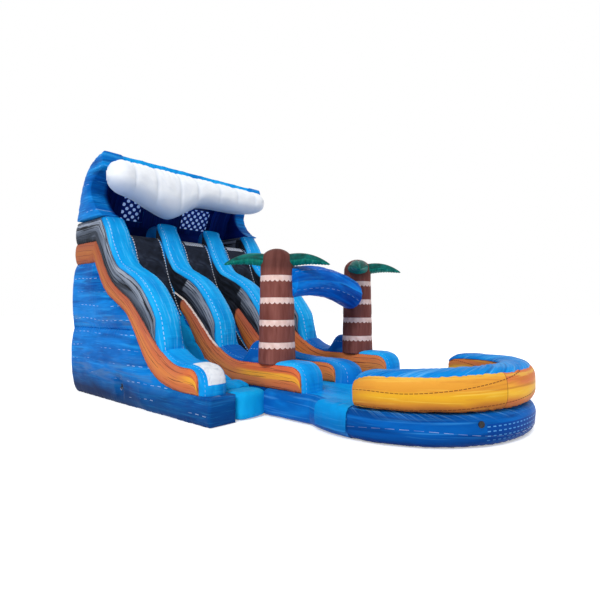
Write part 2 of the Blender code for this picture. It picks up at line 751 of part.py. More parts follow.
def end_share(step):
    """How full the pool's upper tubes are at a step round the ring: they close in towards their two ends."""
    near = min(step, TURN_STEPS - step)
    if near >= POOL_END_STEPS:
        return 1.0
    reach = POOL_END_STEPS + POOL_END_SHARE
    return (1 - (1 - (near + POOL_END_SHARE) / reach) ** 3) ** (1 / 3)


def band_top(step):
    """The top of the coloured tube at a step round the ring: lower towards the two ends."""
    sag = POOL_END_DROP * (1 - math.sin(math.pi * step / TURN_STEPS))
    return BASE_HEIGHT + (BAND_TOP - sag - BASE_HEIGHT) * end_share(step)


def half_ring(name, section, low, high, fullness, material):
    """Half a ring round the front of the pool, from heights and a width share given for each step."""
    middle = POOL_WALL_WIDTH / 2
    rings = []
    for step in range(TURN_STEPS + 1):
        turn = math.pi * step / TURN_STEPS
        ring = []
        for width_share, rise_share in section:
            reach = middle + (width_share * POOL_WALL_WIDTH - middle) * fullness(step)
            height = low(step) + (high(step) - low(step)) * rise_share
            ring.append(pool_point(turn, POOL_RADIUS - POOL_WALL_WIDTH + reach, height))
        rings.append(ring)
    return loft(name, rings, material)


def runout_outline(inset):
    """The outline of the run-out base: straight sides behind the pool, then the pool's circle."""
    half_width = RUNOUT_HALF - inset
    radius = POOL_RADIUS - inset
    meeting = math.acos(half_width / radius)
    left = [(POOL_ACROSS - half_width, TOWER_DEPTH + GAP)]
    for step in range(RUNOUT_STEPS + 1):
        turn = -meeting * (1 - step / RUNOUT_STEPS)
        left.append((POOL_ACROSS - radius * math.cos(turn), POOL_CENTRE + radius * math.sin(turn)))
    left[-1] = (left[-1][0], POOL_CENTRE - GAP)
    right = [(2 * POOL_ACROSS - across, depth) for across, depth in reversed(left)]
    return left + right


def build_pool(finishes):
    rings = []
    for width_share, rise_share in SKIRT_SHARES[1:5]:
        inset = POOL_WALL_WIDTH * (1 - width_share)
        rings.append([at(across, depth, BASE_HEIGHT * rise_share) for across, depth in runout_outline(inset)])
    loft("runout_bed", rings, finishes["light"])
    skirt = half_ring(
        "pool_skirt", SKIRT_SHARES, lambda step: 0.0, lambda step: BASE_HEIGHT, lambda step: 1.0,
        finishes["blue"],
    )
    half_ring(
        "pool_band", POOL_BAND_SHARES, lambda step: BASE_HEIGHT + GAP, band_top, end_share,
        finishes["yellow"],
    )
    half_ring(
        "pool_rim", RIM_SHARES, lambda step: band_top(step) + GAP,
        lambda step: band_top(step) + RIM_DEPTH * end_share(step), end_share, finishes["blue"],
    )
    radius = POOL_RADIUS - POOL_WALL_WIDTH - GAP
    floor = []
    for height in (0.0, FLOOR_DEPTH):
        turns = [math.pi * step / TURN_STEPS for step in range(TURN_STEPS + 1)]
        floor.append([pool_point(turn, radius, height) for turn in turns])
    loft("pool_floor", floor, finishes["light"])
    for side in (-1, 1):
        build_exit_sheet("near" if side < 0 else "far", side, finishes)
    build_pad(finishes)
    return skirt


def build_exit_sheet(name, side, finishes):
    """The thin sheet over the edge of the run-out, where riders step out."""
    profile = []
    for width_share, rise_share in SKIRT_SHARES[2:5]:
        profile.append((POOL_WALL_WIDTH * width_share, BASE_HEIGHT * rise_share))
    profile.append((POOL_WALL_WIDTH * SHEET_TOP_SHARE, BASE_HEIGHT))
    near_skin = [(reach + GAP * 3, height + GAP * 3) for reach, height in profile]
    far_skin = [(reach + SHEET_THICKNESS, height + SHEET_THICKNESS) for reach, height in profile]
    near_skin[-1] = (profile[-1][0], near_skin[-1][1])
    far_skin[-1] = (profile[-1][0], far_skin[-1][1])
    outline = near_skin + far_skin[::-1]
    rings = []
    reach_turn = SHEET_REACH / POOL_RADIUS
    meeting = math.acos(RUNOUT_HALF / POOL_RADIUS)
    for step in range(RUNOUT_STEPS + 1):
        turn = -meeting * (1 - step / RUNOUT_STEPS)
        if turn >= -reach_turn:
            rings.append([
                at(POOL_ACROSS + side * (POOL_RADIUS - POOL_WALL_WIDTH + reach) * math.cos(turn),
                   POOL_CENTRE - GAP + (POOL_RADIUS - POOL_WALL_WIDTH + reach) * math.sin(turn), height)
                for reach, height in outline
            ])
    loft(f"{name}_exit_sheet", rings, finishes["light"])


def build_pad(finishes):
    """The rounded pad before the climb lane."""
    low = WALL_WIDTH + BAND_BULGE + GAP
    high = LANE_PITCH - BAND_BULGE - GAP
    rings = []
    for inset_share, rise_share in ((0.3, 0.0), (0.0, 0.3), (0.0, 0.7), (0.35, 0.92), (1.0, 1.0)):
        inset = PAD_ROUND * inset_share
        ring = []
        for corner in range(4):
            for step in range(4):
                turn = math.pi / 2 * (corner + step / 3)
                across = high - PAD_ROUND if corner in (0, 3) else low + PAD_ROUND
                across += math.cos(turn) * (PAD_ROUND - inset)
                depth = TOWER_DEPTH - PAD_ROUND if corner in (0, 1) else TOWER_DEPTH - PAD_DEPTH + PAD_ROUND
                depth += math.sin(turn) * (PAD_ROUND - inset)
                ring.append(at(across, depth, (BASE_HEIGHT - GAP) * rise_share))
        rings.append(ring)
    loft("entry_pad", rings, finishes["light"])


def build_trunk(name, across, material, extra=0.0):
    """A turned trunk with a domed top, on the end cap of a low wall. A cutter is larger by the extra."""
    foot = LOW_WALL_HEIGHT + CAP_DEPTH + GAP
    shoulder = TRUNK_TOP - TRUNK_DOME
    profile = [(0.0, TRUNK_TOP + extra)]
    for step in range(1, 5):
        turn = math.pi / 2 * step / 4
        radius = (TRUNK_NECK_RADIUS + extra) * math.sin(turn)
        profile.append((radius, shoulder + (TRUNK_DOME + extra) * math.cos(turn)))
    profile += [(TRUNK_RADIUS + extra, foot), (0.0, foot)]
    mesh = bpy.data.meshes.new(name)
    points = [(radius, 0.0, height) for radius, height in profile]
    mesh.from_pydata(points, [(step, step + 1) for step in range(len(points) - 1)], [])
    made = add_object(name, mesh, material)
    made.location = at(across, PALM_DEPTH, 0.0)
    turning = made.modifiers.new("turning", "SCREW")
    turning.axis = "Z"
    turning.steps = 24
    turning.render_steps = 24
    turning.use_merge_vertices = True
    turning.merge_threshold = 0.0001
    turning.use_smooth_shade = True
    return made


def build_frond(name, across, turn_share, finishes):
    """A swollen leaf that leaves the trunk's top, rises a little and droops to a blunt tip."""
    turn = 2 * math.pi * turn_share
    root = TRUNK_NECK_RADIUS / 2
    rings = []
    stations = 8
    for step in range(stations + 1):
        share = step / stations
        reach = root + (TRUNK_NECK_RADIUS - root + FROND_LENGTH) * share
        height = FROND_HEIGHT + FROND_RISE * math.sin(math.pi * share) - FROND_DROOP * share ** 2
        fat = FROND_RADIUS * max(1 - share ** FROND_POWER_SHARE, 0.0) ** FROND_TIP_SHARE + FROND_TIP_RADIUS
        ring = []
        for corner in range(10):
            angle = 2 * math.pi * corner / 10
            sideways = math.cos(angle) * fat * FROND_WIDTH_SHARE
            upwards = math.sin(angle) * fat
            x, y, z = at(across, PALM_DEPTH, height + upwards)
            ring.append((
                x + reach * math.cos(turn) - sideways * math.sin(turn),
                y + reach * math.sin(turn) + sideways * math.cos(turn), z,
            ))
        rings.append(ring)
    frond = loft(name, rings, finishes["green"])
    combine(frond, build_trunk(f"{name}_trunk_cutter", across, PLAIN, TRUNK_GAP))
    return frond


def build_arch(name, material, extra=0.0):
    """The cambered tube from the near trunk to the far one. A cutter is fatter by the extra."""
    near = WALL_CENTRES[1]
    far = WALL_CENTRES[3]
    radius = ARCH_RADIUS + extra
    rings = []
    stations = 12
    for step in range(stations + 1):
        share = step / stations
        across = near + (far - ARCH_SETBACK - near) * share
        height = ARCH_HEIGHT + ARCH_CAMBER * math.sin(math.pi * share) - ARCH_DROP * share ** 2
        ring = []
        for corner in range(14):
            turn = 2 * math.pi * corner / 14
            depth = PALM_DEPTH + ARCH_OFFSET + radius * math.cos(turn)
            ring.append(at(across, depth, height + radius * math.sin(turn)))
        rings.append(ring)
    return loft(name, rings, material)


def build_palms(finishes):
    """The two palms on the walls' end caps, and the arch between them. The first near frond rests on it."""
    near = WALL_CENTRES[1]
    far = WALL_CENTRES[3]
    build_trunk("near_palm_trunk", near, finishes["trunk"])
    build_trunk("far_palm_trunk", far, finishes["trunk"])
    for name, across, shares in (("near", near, NEAR_FROND_TURN_SHARES), ("far", far, FAR_FROND_TURN_SHARES)):
        for number, share in enumerate(shares, 1):
            frond = build_frond(f"{name}_palm_frond_{number}", across, share, finishes)
            combine(frond, build_arch(f"{name}_frond_cutter_{number}", PLAIN, GAP))
    arch = build_arch("palm_arch", finishes["blue"])
    combine(arch, build_trunk("near_arch_cutter", near, PLAIN, TRUNK_GAP))
    combine(arch, build_trunk("far_arch_cutter", far, PLAIN, TRUNK_GAP))


def tube(name, place, outer, inner, length, material, sides=28):
    """A round tube along the slide, from a world place downhill."""
    rings = []
    x, y, z = place
    for step in range(sides):
        turn = 2 * math.pi * step / sides
        across = math.cos(turn)
        upward = math.sin(turn)
        rings.append([
            (x + across * radius, y - reach, z + upward * radius)
            for radius, reach in ((outer, 0.0), (outer, length), (inner, length), (inner, 0.0))
        ])
    return loft(name, rings, material, True)


def left_face(depth, height):
    """How far the left wall's swollen outer face stands out at a depth and a height."""
    line = tower_line(ORANGE_FOOT_SHARES)
    top = from_depth(line, depth)[0][1]
    steps = [(rise, SIDE_BULGE * 4 * rise * (1 - rise)) for side, rise in LOWER_SHARES if side < 0]
    return from_depth(steps, height / top)[0][1]


def build_anchor(finishes):
    """A tab with a lug on the left wall, and the D-ring whose straight bar turns in the lug."""
    half = TAB_WIDTH / 2
    low = ANCHOR_HEIGHT - TAB_HEIGHT / 3
    high = ANCHOR_HEIGHT + TAB_HEIGHT
    rings = []
    for depth in (ANCHOR_DEPTH - half, ANCHOR_DEPTH + half):
        rings.append([
            at(-left_face(depth, low) - GAP, depth, low),
            at(-left_face(depth, high) - GAP, depth, high),
            at(-left_face(depth, high) - TAB_THICKNESS / 3, depth, high),
            at(-left_face(depth, low) - TAB_THICKNESS / 3, depth, low),
        ])
    tab = loft("anchor_tab", rings, finishes["webbing"])
    bar = -left_face(ANCHOR_DEPTH, ANCHOR_HEIGHT) - TAB_THICKNESS
    lug_half = RING_WIDTH / 2 - RING_WIRE * 2
    lug_round = RING_WIRE * 2 + RING_PLAY
    lug = block(
        "anchor_lug", (bar - lug_round, ANCHOR_DEPTH - lug_half, ANCHOR_HEIGHT - lug_round),
        (bar + TAB_THICKNESS * LUG_REACH_SHARE, ANCHOR_DEPTH + lug_half, ANCHOR_HEIGHT + lug_round), PLAIN,
    )
    combine(tab, lug, "UNION")
    bore = round_bar(
        "anchor_bore_cutter", at(bar, ANCHOR_DEPTH, ANCHOR_HEIGHT), "Y", RING_WIRE + RING_PLAY,
        TAB_WIDTH * 2, PLAIN, 16,
    )
    combine(tab, bore)
    path = []
    for step in range(4):
        path.append((RING_WIDTH / 2 * (2 * step / 3 - 1), 0.0))
    for step in range(1, 12):
        turn = math.pi * step / 12
        path.append((RING_WIDTH / 2 * math.cos(turn), -RING_DROP * math.sin(turn)))
    rings = []
    for step, (here_depth, here_rise) in enumerate(path):
        before = path[step - 1]
        after = path[(step + 1) % len(path)]
        run = after[0] - before[0]
        rise = after[1] - before[1]
        length = math.hypot(run, rise)
        ring = []
        for corner in range(8):
            turn = 2 * math.pi * corner / 8
            side = RING_WIRE * math.sin(turn)
            ring.append((
                RING_WIRE * math.cos(turn), rise / length * side - here_depth,
                here_rise + run / length * side,
            ))
        rings.append(ring)
    ring = loft("anchor_ring", rings, finishes["steel"], True)
    ring.location = at(bar, ANCHOR_DEPTH, ANCHOR_HEIGHT)


def build_plug(skirt, finishes):
    """The drain plug in the pool's lower tube, which pulls straight out of its bore."""
    turn = math.pi * (PLUG_STEP + 0.5) / TURN_STEPS
    side = [(rise_share, 1 - width_share) for width_share, rise_share in SKIRT_SHARES[2:4]]
    inset_share = from_depth(side, (PLUG_HEIGHT - PLUG_HEAD_RADIUS) / BASE_HEIGHT)[0][1]
    face = (POOL_RADIUS - POOL_WALL_WIDTH * inset_share) * math.cos(math.pi / TURN_STEPS / 2)
    head = PLUG_HEAD
    profile = [
        (0.0, SEAT_GAP + head), (PLUG_HEAD_RADIUS * PLUG_TOP_SHARE, SEAT_GAP + head),
        (PLUG_HEAD_RADIUS, SEAT_GAP + head * PLUG_EDGE_SHARE),
        (PLUG_HEAD_RADIUS, SEAT_GAP), (PLUG_RADIUS, SEAT_GAP), (PLUG_RADIUS, -PLUG_SHANK), (0.0, -PLUG_SHANK),
    ]
    mesh = bpy.data.meshes.new("drain_plug")
    mesh.from_pydata([(radius, 0.0, reach) for radius, reach in profile], [(a, a + 1) for a in range(6)], [])
    plug = add_object("drain_plug", mesh, finishes["plastic"])
    turning = plug.modifiers.new("turning", "SCREW")
    turning.axis = "Z"
    turning.steps = 20
    turning.render_steps = 20
    turning.use_merge_vertices = True
    turning.merge_threshold = 0.0001
    bore = round_bar(
        "plug_bore_cutter", (0.0, 0.0, 0.0), "Z", PLUG_RADIUS + PLUG_PLAY,
        (PLUG_SHANK + PLUG_PLAY) * 2, PLAIN, 20,
    )
    for thing in (plug, bore):
        thing.location = pool_point(turn, face, PLUG_HEIGHT)
        thing.rotation_euler = (math.pi / 2, 0.0, turn - math.pi / 2)
    combine(skirt, bore)


def build_blower(finishes):
    """The inflation sleeve on the back wall, and the blower that it is strapped to."""
    mouth = at(SLEEVE_ACROSS, -GAP, SLEEVE_HEIGHT)
    tube(
        "inflation_sleeve", (mouth[0], mouth[1] + SLEEVE_LENGTH, mouth[2]), SLEEVE_RADIUS,
        SLEEVE_RADIUS - SLEEVE_WALL, SLEEVE_LENGTH, finishes["blue"],
    )
    drum_depth = -SLEEVE_LENGTH - SPOUT_LENGTH
    centre = at(SLEEVE_ACROSS, drum_depth, BLOWER_HEIGHT)
    spout_end = at(SLEEVE_ACROSS, -SLEEVE_LENGTH + SPOUT_GRIP, SLEEVE_HEIGHT)
    spout_length = centre[1] - spout_end[1]
    spout_middle = (centre[0], centre[1] - spout_length / 2, centre[2])
    spout_radius = SLEEVE_RADIUS - SLEEVE_WALL - SEAT_GAP
    housing = round_bar("blower_housing", centre, "X", BLOWER_RADIUS, BLOWER_WIDTH, finishes["blower"], 32)
    spout = round_bar("blower_spout", spout_middle, "Y", spout_radius, spout_length, PLAIN, 24)
    combine(housing, spout, "UNION")
    foot_reach = BLOWER_WIDTH / 2 + FOOT_WIDTH
    foot_top = BLOWER_HEIGHT - BLOWER_RADIUS * FOOT_TOP_SHARE
    for side in (-1, 1):
        depth = drum_depth + side * BLOWER_RADIUS / 2
        foot = block(
            f"blower_foot_{side + 2}", (SLEEVE_ACROSS - foot_reach, depth - FOOT_WIDTH / 2, 0.0),
            (SLEEVE_ACROSS + foot_reach, depth + FOOT_WIDTH / 2, foot_top), PLAIN,
        )
        combine(housing, foot, "UNION")
    inside = BLOWER_RADIUS - BLOWER_WALL
    room = BLOWER_WIDTH - BLOWER_WALL * 2
    combine(housing, round_bar("blower_room_cutter", centre, "X", inside, room, PLAIN, 32))
    bore_middle = (centre[0], spout_middle[1] - OVERRUN, centre[2])
    bore_radius = spout_radius - BLOWER_WALL
    combine(housing, round_bar("spout_bore_cutter", bore_middle, "Y", bore_radius, spout_length, PLAIN, 24))
    inlet = (centre[0] - BLOWER_WIDTH / 2, centre[1], centre[2])
    combine(housing, round_bar("inlet_cutter", inlet, "X", INLET_RADIUS, BLOWER_WALL * 4, PLAIN, 28))
    back = (centre[0] + BLOWER_WIDTH / 2, centre[1], centre[2])
    shaft_bore = SHAFT_RADIUS * SHAFT_BORE_SHARE
    combine(housing, round_bar("shaft_bore_cutter", back, "X", shaft_bore, BLOWER_WALL * 4, PLAIN, 16))
    build_guard(inlet, finishes)
    build_impeller(centre, finishes)
    build_motor(back, finishes)


def build_guard(inlet, finishes):
    """A round guard with slots over the blower's inlet."""
    place = (inlet[0] - GUARD_THICKNESS / 2 - GAP, inlet[1], inlet[2])
    guard = round_bar(
        "blower_inlet_guard", place, "X", INLET_RADIUS + GUARD_LIP, GUARD_THICKNESS, finishes["plastic"], 28,
    )
    slots = bmesh.new()
    for row in range(-3, 4):
        height = row * INLET_RADIUS / 4
        half = math.sqrt((INLET_RADIUS * GUARD_OPEN_SHARE) ** 2 - height ** 2)
        made = bmesh.ops.create_cube(slots, size=1)
        for corner in made["verts"]:
            x, y, z = corner.co
            corner.co = (
                place[0] + x * GUARD_THICKNESS * 4, place[1] + y * half * 2,
                place[2] + height + z * INLET_RADIUS / 7,
            )
    mesh = bpy.data.meshes.new("guard_slots")
    slots.to_mesh(mesh)
    slots.free()
    combine(guard, add_object("guard_slot_cutter", mesh, PLAIN))


def build_impeller(centre, finishes):
    """The fan wheel: a back plate, a hub with its shaft, and a ring of straight blades."""
    reach = IMPELLER_WIDTH / 2
    wheel = round_bar(
        "blower_impeller", (centre[0] + reach, centre[1], centre[2]), "X", IMPELLER_RADIUS, BLADE_THICKNESS,
        finishes["plastic"], 32,
    )
    combine(wheel, round_bar("impeller_hub", centre, "X", HUB_RADIUS, IMPELLER_WIDTH, PLAIN, 16), "UNION")
    shaft_end = BLOWER_WIDTH / 2 + SHAFT_REACH
    shaft = (centre[0] + shaft_end / 2, centre[1], centre[2])
    combine(wheel, round_bar("impeller_shaft", shaft, "X", SHAFT_RADIUS, shaft_end, PLAIN, 16), "UNION")
    blades = bmesh.new()
    root = HUB_RADIUS * BLADE_ROOT_SHARE
    for blade in range(BLADE_COUNT):
        turn = 2 * math.pi * blade / BLADE_COUNT
        made = bmesh.ops.create_cube(blades, size=1)
        for corner in made["verts"]:
            x, y, z = corner.co
            radial = root + (y + 0.5) * (IMPELLER_RADIUS * BLADE_REACH_SHARE - root)
            sideways = z * BLADE_THICKNESS
            corner.co = (
                centre[0] + x * IMPELLER_WIDTH * BLADE_WIDTH_SHARE,
                centre[1] + radial * math.cos(turn) - sideways * math.sin(turn),
                centre[2] + radial * math.sin(turn) + sideways * math.cos(turn),
            )
    mesh = bpy.data.meshes.new("impeller_blades")
    blades.to_mesh(mesh)
    blades.free()
    combine(wheel, add_object("impeller_blade_union", mesh, PLAIN), "UNION")


def build_motor(back, finishes):
    """The motor on the blower's side, with a bore for the shaft and a rocker switch in its end."""
    place = (back[0] + GAP + MOTOR_LENGTH / 2, back[1], back[2])
    motor = round_bar("blower_motor", place, "X", MOTOR_RADIUS, MOTOR_LENGTH, finishes["steel"], 24)
    bore_length = SHAFT_REACH * 2 + GAP * 8
    combine(motor, round_bar("motor_bore_cutter", back, "X", SHAFT_RADIUS + GAP, bore_length, PLAIN, 16))
    face = (back[0] + GAP + MOTOR_LENGTH, back[1], back[2] + MOTOR_RADIUS / 2)
    pocket = bmesh.new()
    made = bmesh.ops.create_cube(pocket, size=1)
    for corner in made["verts"]:
        x, y, z = corner.co
        corner.co = (
            face[0] + x * SWITCH_DEPTH * 2, face[1] + y * (SWITCH_WIDTH + SWITCH_PLAY * 2),
            face[2] + z * (SWITCH_LENGTH + SWITCH_PLAY * 4),
        )
    mesh = bpy.data.meshes.new("switch_pocket")
    pocket.to_mesh(mesh)
    pocket.free()
    combine(motor, add_object("switch_pocket_cutter", mesh, PLAIN))
    pivot = (face[0] - SWITCH_PIN_DEPTH, face[1], face[2])
    pin_length = SWITCH_WIDTH + SWITCH_PLAY * 6
    pin_bore = round_bar("switch_pin_cutter", pivot, "Y", SWITCH_PIN + GAP, pin_length + GAP * 4, PLAIN, 12)
    combine(motor, pin_bore)
    rings = []
    for side in (-0.5, 0.5):
        rings.append([
            (
                reach_share * SWITCH_PROUD + SWITCH_PIN_DEPTH, side * SWITCH_WIDTH,
                length_share * SWITCH_LENGTH / 2,
            )
            for length_share, reach_share in SWITCH_SHARES
        ])
    switch = loft("blower_switch", rings, finishes["plastic"])
    switch.location = pivot
    combine(switch, round_bar("switch_pin", pivot, "Y", SWITCH_PIN, pin_length, PLAIN, 12), "UNION")


def main():
    finishes = {
        "blue": finish("marbled_blue_vinyl", (0.02, 0.20, 0.62)),
        "rail": finish("bright_blue_vinyl", (0.02, 0.42, 0.90)),
        "light": finish("light_blue_vinyl", (0.03, 0.40, 0.78)),
        "navy": finish("navy_vinyl", (0.01, 0.03, 0.22)),
        "orange": finish("orange_vinyl", (0.80, 0.28, 0.07)),
        "yellow": finish("yellow_vinyl", (0.92, 0.52, 0.05)),
        "grey": finish("grey_rock_vinyl", (0.20, 0.22, 0.26)),
        "liner": finish("black_liner", (0.02, 0.02, 0.03)),
        "foam": finish("white_vinyl", (0.85, 0.88, 0.93)),
        "green": finish("green_vinyl", (0.01, 0.30, 0.16)),
        "trunk": finish("brown_vinyl", (0.24, 0.10, 0.07)),
        "webbing": finish("black_webbing", (0.03, 0.03, 0.03), 0.8),
        "steel": finish("zinc_steel", (0.55, 0.56, 0.58), 0.35, 1.0),
        "plastic": finish("black_plastic", (0.02, 0.02, 0.02), 0.5),
        "blower": finish("blower_plastic", (0.75, 0.08, 0.05), 0.45),
    }
    walls = (
        ("left", LEFT_WALL_END, CAP_LENGTH, 0.0, False),
        ("climb_divider", CLIMB_DIVIDER_END, CAP_LENGTH, CLIMB_RAIL_START, True),
        ("lane_divider", LANE_DIVIDER_END, LANE_CAP_LENGTH, LANE_RAIL_START, False),
        ("right", RIGHT_WALL_END, CAP_LENGTH, 0.0, True),
    )
    lowers = []
    for index, (name, end, cap_length, rail_start, plinth) in enumerate(walls):
        lowers.append(build_wall(index, name, end, cap_length, rail_start, plinth, finishes))
    cut_seam(lowers[0], -SIDE_BULGE, -1)
    cut_seam(lowers[3], TOWER_WIDTH + SIDE_BULGE, 1)
    build_tower(finishes)
    build_hood(finishes)
    build_plug(build_pool(finishes), finishes)
    build_palms(finishes)
    build_anchor(finishes)
    build_blower(finishes)


empty_scene()
PARTS = new_collection("inflatable_water_slide")
CUTTERS = new_collection("cutters")
PLAIN = finish("cutter", (0.5, 0.5, 0.5))
main()
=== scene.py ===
"""The looks of the inflatable water slide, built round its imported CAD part.

Each inflated chamber is a surface worked out with numpy from the same outlines as the part: across is
measured from the outer face of the left wall, depth downhill from the back of the tower, and height above
the ground.
"""

import math

from collections import namedtuple

import bpy
import numpy as np
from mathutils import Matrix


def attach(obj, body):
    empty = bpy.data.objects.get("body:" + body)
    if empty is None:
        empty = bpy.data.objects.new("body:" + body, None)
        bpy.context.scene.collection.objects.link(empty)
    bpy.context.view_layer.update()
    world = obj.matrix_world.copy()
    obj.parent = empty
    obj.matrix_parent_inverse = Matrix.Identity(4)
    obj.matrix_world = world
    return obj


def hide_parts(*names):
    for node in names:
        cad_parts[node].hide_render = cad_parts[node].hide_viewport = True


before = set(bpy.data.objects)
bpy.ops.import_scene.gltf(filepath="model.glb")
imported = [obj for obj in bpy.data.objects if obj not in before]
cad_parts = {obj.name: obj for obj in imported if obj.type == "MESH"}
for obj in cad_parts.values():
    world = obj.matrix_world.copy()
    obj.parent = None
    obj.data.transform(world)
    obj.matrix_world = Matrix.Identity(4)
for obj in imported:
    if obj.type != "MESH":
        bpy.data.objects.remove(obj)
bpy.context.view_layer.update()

# Driving sizes, in metres, as in the part
WALL_WIDTH = 0.45
LANE_PITCH = 1.1475
TOWER_DEPTH = 4.38
DECK_EDGE = 1.10
RAIL_FOOT = 3.15
RAIL_HEIGHT = 3.45
DECK_HEIGHT = 3.12
DECK_THICKNESS = 0.30
BACK_WALL = 0.33
BASE = 0.42
FOOT_HEIGHT = 1.00
LOW_WALL = 0.80
CAP_DEPTH = 0.065
RAIL_DEPTH = 0.09
SEAM_HEIGHT = 1.31
BED_THICKNESS = 0.28
PAD_LENGTH = 0.46
HOOD_HEIGHT = 4.62
HOOD_DEPTH = 1.20
HOOD_WALL = 0.28
HOOD_SIDE = 0.30
POOL_CENTRE = 6.15
POOL_RADIUS = 1.72
POOL_WALL = 0.50
POOL_FLOOR = 0.08
BAND_TOP = 0.88
RIM_DEPTH = 0.08
PALM_DEPTH = 4.34
TRUNK_FOOT = 0.80
TRUNK_SHOULDER = 2.44
TRUNK_DOME = 0.22
TRUNK_RADII = (0.305, 0.265)
ARCH_HEIGHT = 2.10
ANCHOR_DEPTH = 1.91
ANCHOR_HEIGHT = 0.31
SLEEVE_ACROSS = 2.60
SLEEVE_RADIUS = 0.15
SLEEVE_LENGTH = 0.62
SLEEVE_HEIGHT = 0.30
CENTRES = [WALL_WIDTH / 2 + LANE_PITCH * lane for lane in range(4)]
TOWER_WIDTH = CENTRES[3] + WALL_WIDTH / 2
POOL_ACROSS = CENTRES[2]
RUN = RAIL_FOOT - DECK_EDGE
LEFT = -(POOL_ACROSS + POOL_RADIUS) / 2
BACK = (POOL_CENTRE + POOL_RADIUS - 1.29) / 2

# Soft forms that only the looks have, in metres: how far the bands stand out and the power of their arch, the
# pitches of the upright tubes and of the ribs, and the lean of the folds
ORANGE_SWELL = 0.05
GREY_SWELL = 0.04
SWELL_POWER = 0.55
TUBE_PITCH = 0.56
HOOD_TUBE_PITCH = 0.47
RIB_PITCH = 0.23
RIB_DEPTH = 0.006
FOLD_SLANT = 1.3
CAP_BEND = 0.24
STEPS = 5
STEP_HEIGHT = 0.06
LINER_WIDTH = 0.598
SHEET_LIFT = 0.006
CREST_HEAD = 4.45
CREST_HEIGHT = 0.92
CREST_REACH = 0.41
FROND_ROOT = 0.20
FROND_LENGTH = 0.665
FROND_HEIGHT = 2.46
FROND_FAT = 0.118
FRILLS = 13
ARCH_RADIUS = 0.253
SLEEVE_BORE = 0.134
STRAP_SHARE = 0.90
STRAP_RADIUS = 0.151

# Rows of the grids: along a wall's outline, along a bed, at the windows' sill and head, and round the pool
WALL_ROWS = 200
BED_ROWS = 260
SILL_ROW = 8
HEAD_ROW = 32
RING_STEPS = 640

# The stage: the floor's reach, how bright it shows, and the camera's lens, rise, place and turn
FLOOR_REACH = 90
FLOOR_GLOW = 0.42
CAMERA_LENS = 27.48
CAMERA_SHIFT = 0.0125
CAMERA_PLACE = (-6.085, -6.31, 1.70)
CAMERA_TURN = -48.3

# Side outlines: a share of the run downhill, and a share of the rise above the base
RAIL_SHARES = (
    (0.0, 1.0), (0.10, 0.907), (0.175, 0.808), (0.30, 0.70), (0.44, 0.655), (0.585, 0.613),
    (0.707, 0.56), (0.805, 0.497), (0.90, 0.42), (0.965, 0.345), (1.0, 0.262), (1.0, 0.189),
)
TOP_SHARES = (
    (-0.127, 0.844), (-0.03, 0.758), (0.05, 0.675), (0.156, 0.593), (0.30, 0.53), (0.468, 0.477),
    (0.595, 0.417), (0.707, 0.351), (0.805, 0.291), (0.888, 0.242), (0.951, 0.209), (1.0, 0.186),
)
FOOT_SHARES = (
    (-0.146, 0.709), (-0.054, 0.619), (0.01, 0.56), (0.117, 0.497), (0.254, 0.454), (0.44, 0.387),
    (0.537, 0.321), (0.624, 0.242), (0.707, 0.166), (0.805, 0.096), (0.902, 0.053), (1.0, 0.026),
)
BED_SHARES = (
    (0.0, 1.0), (0.06, 0.981), (0.117, 0.918), (0.176, 0.814), (0.244, 0.688), (0.332, 0.565),
    (0.424, 0.45), (0.527, 0.338), (0.659, 0.223), (0.805, 0.123), (0.976, 0.052), (1.171, 0.011),
    (1.366, 0.0), (1.6, 0.0),
)
HOOD_SHARES = ((0.0, 0.0), (0.05, 0.14), (0.17, 0.46), (0.33, 0.70), (0.56, 0.88), (0.79, 0.966), (1.0, 1.0))
HOOD_FRONT_SHARES = (
    (0.93, 0.0), (0.80, 0.07), (0.66, 0.19), (0.56, 0.34),
    (0.53, 0.48), (0.60, 0.60), (0.77, 0.69), (1.0, 0.76),
)
CREST_SHARES = (
    (0.0, 0.60), (0.12, 0.70), (0.22, 0.88), (0.335, 1.0),
    (0.45, 0.76), (0.54, 0.61), (0.80, 0.58), (1.0, 0.46),
)
CREST_VALLEYS = (0.0, 0.10, 0.22, 0.36, 0.47, 0.62, 0.75, 0.89, 1.0)
# The exit sheets' section: a share of its length, how far past the pool's radius, and the rise above the base
EXIT_SECTION = (
    (0.0, -0.33, 0.008), (0.40, -0.10, 0.006), (0.47, -0.035, -0.012), (0.58, 0.008, -0.07),
    (0.72, 0.016, -0.15), (0.86, 0.020, -0.24), (1.0, 0.014, -0.32),
)
# Each wall's name, its end, its cap's length, the start of its rail and how far down the black cloth reaches
WALLS = (
    ("left", 4.28, 0.17, 0.0, 1.9), ("climb_divider", 5.18, 0.10, 0.65, 2.0),
    ("lane_divider", 5.20, 0.36, 0.92, 2.3), ("right", 5.22, 0.07, 0.0, 2.3),
)
# The two chambers of an outer wall: how far each stands out at most, in metres and as a share of its
# height, and the swell beyond which it shows ribs
CHAMBERS = ((0.115, 0.14, -1.0), (0.085, 0.2, 0.01))
# Each window's name, its middle and its width
WINDOWS = (("left_window", 0.97, 0.50), ("right_window", 2.60, 0.84))
WINDOW_SILL = 3.56
WINDOW_HEAD = 4.06
# The nets' round holes, and the trunks' rings with their scallops
DOT_PITCH = 0.165
DOT_RADIUS = 0.036
RING_TOP = 2.215
RING_PITCH = 0.357
RING_SCALLOP = 0.075
# How much of its size each row keeps where a surface closes
END_SHARES = (0.985, 0.95, 0.89, 0.80, 0.66, 0.45, 0.22, 0.0)
# Random numbers from -1 to 1 for the noise
TABLE = np.random.RandomState(11).rand(64, 64) * 2 - 1

# A grid of points with shares of the rise, distances to the nearest seam and shares of the half width
Shape = namedtuple("Shape", "points rise edge side")


# Number helpers

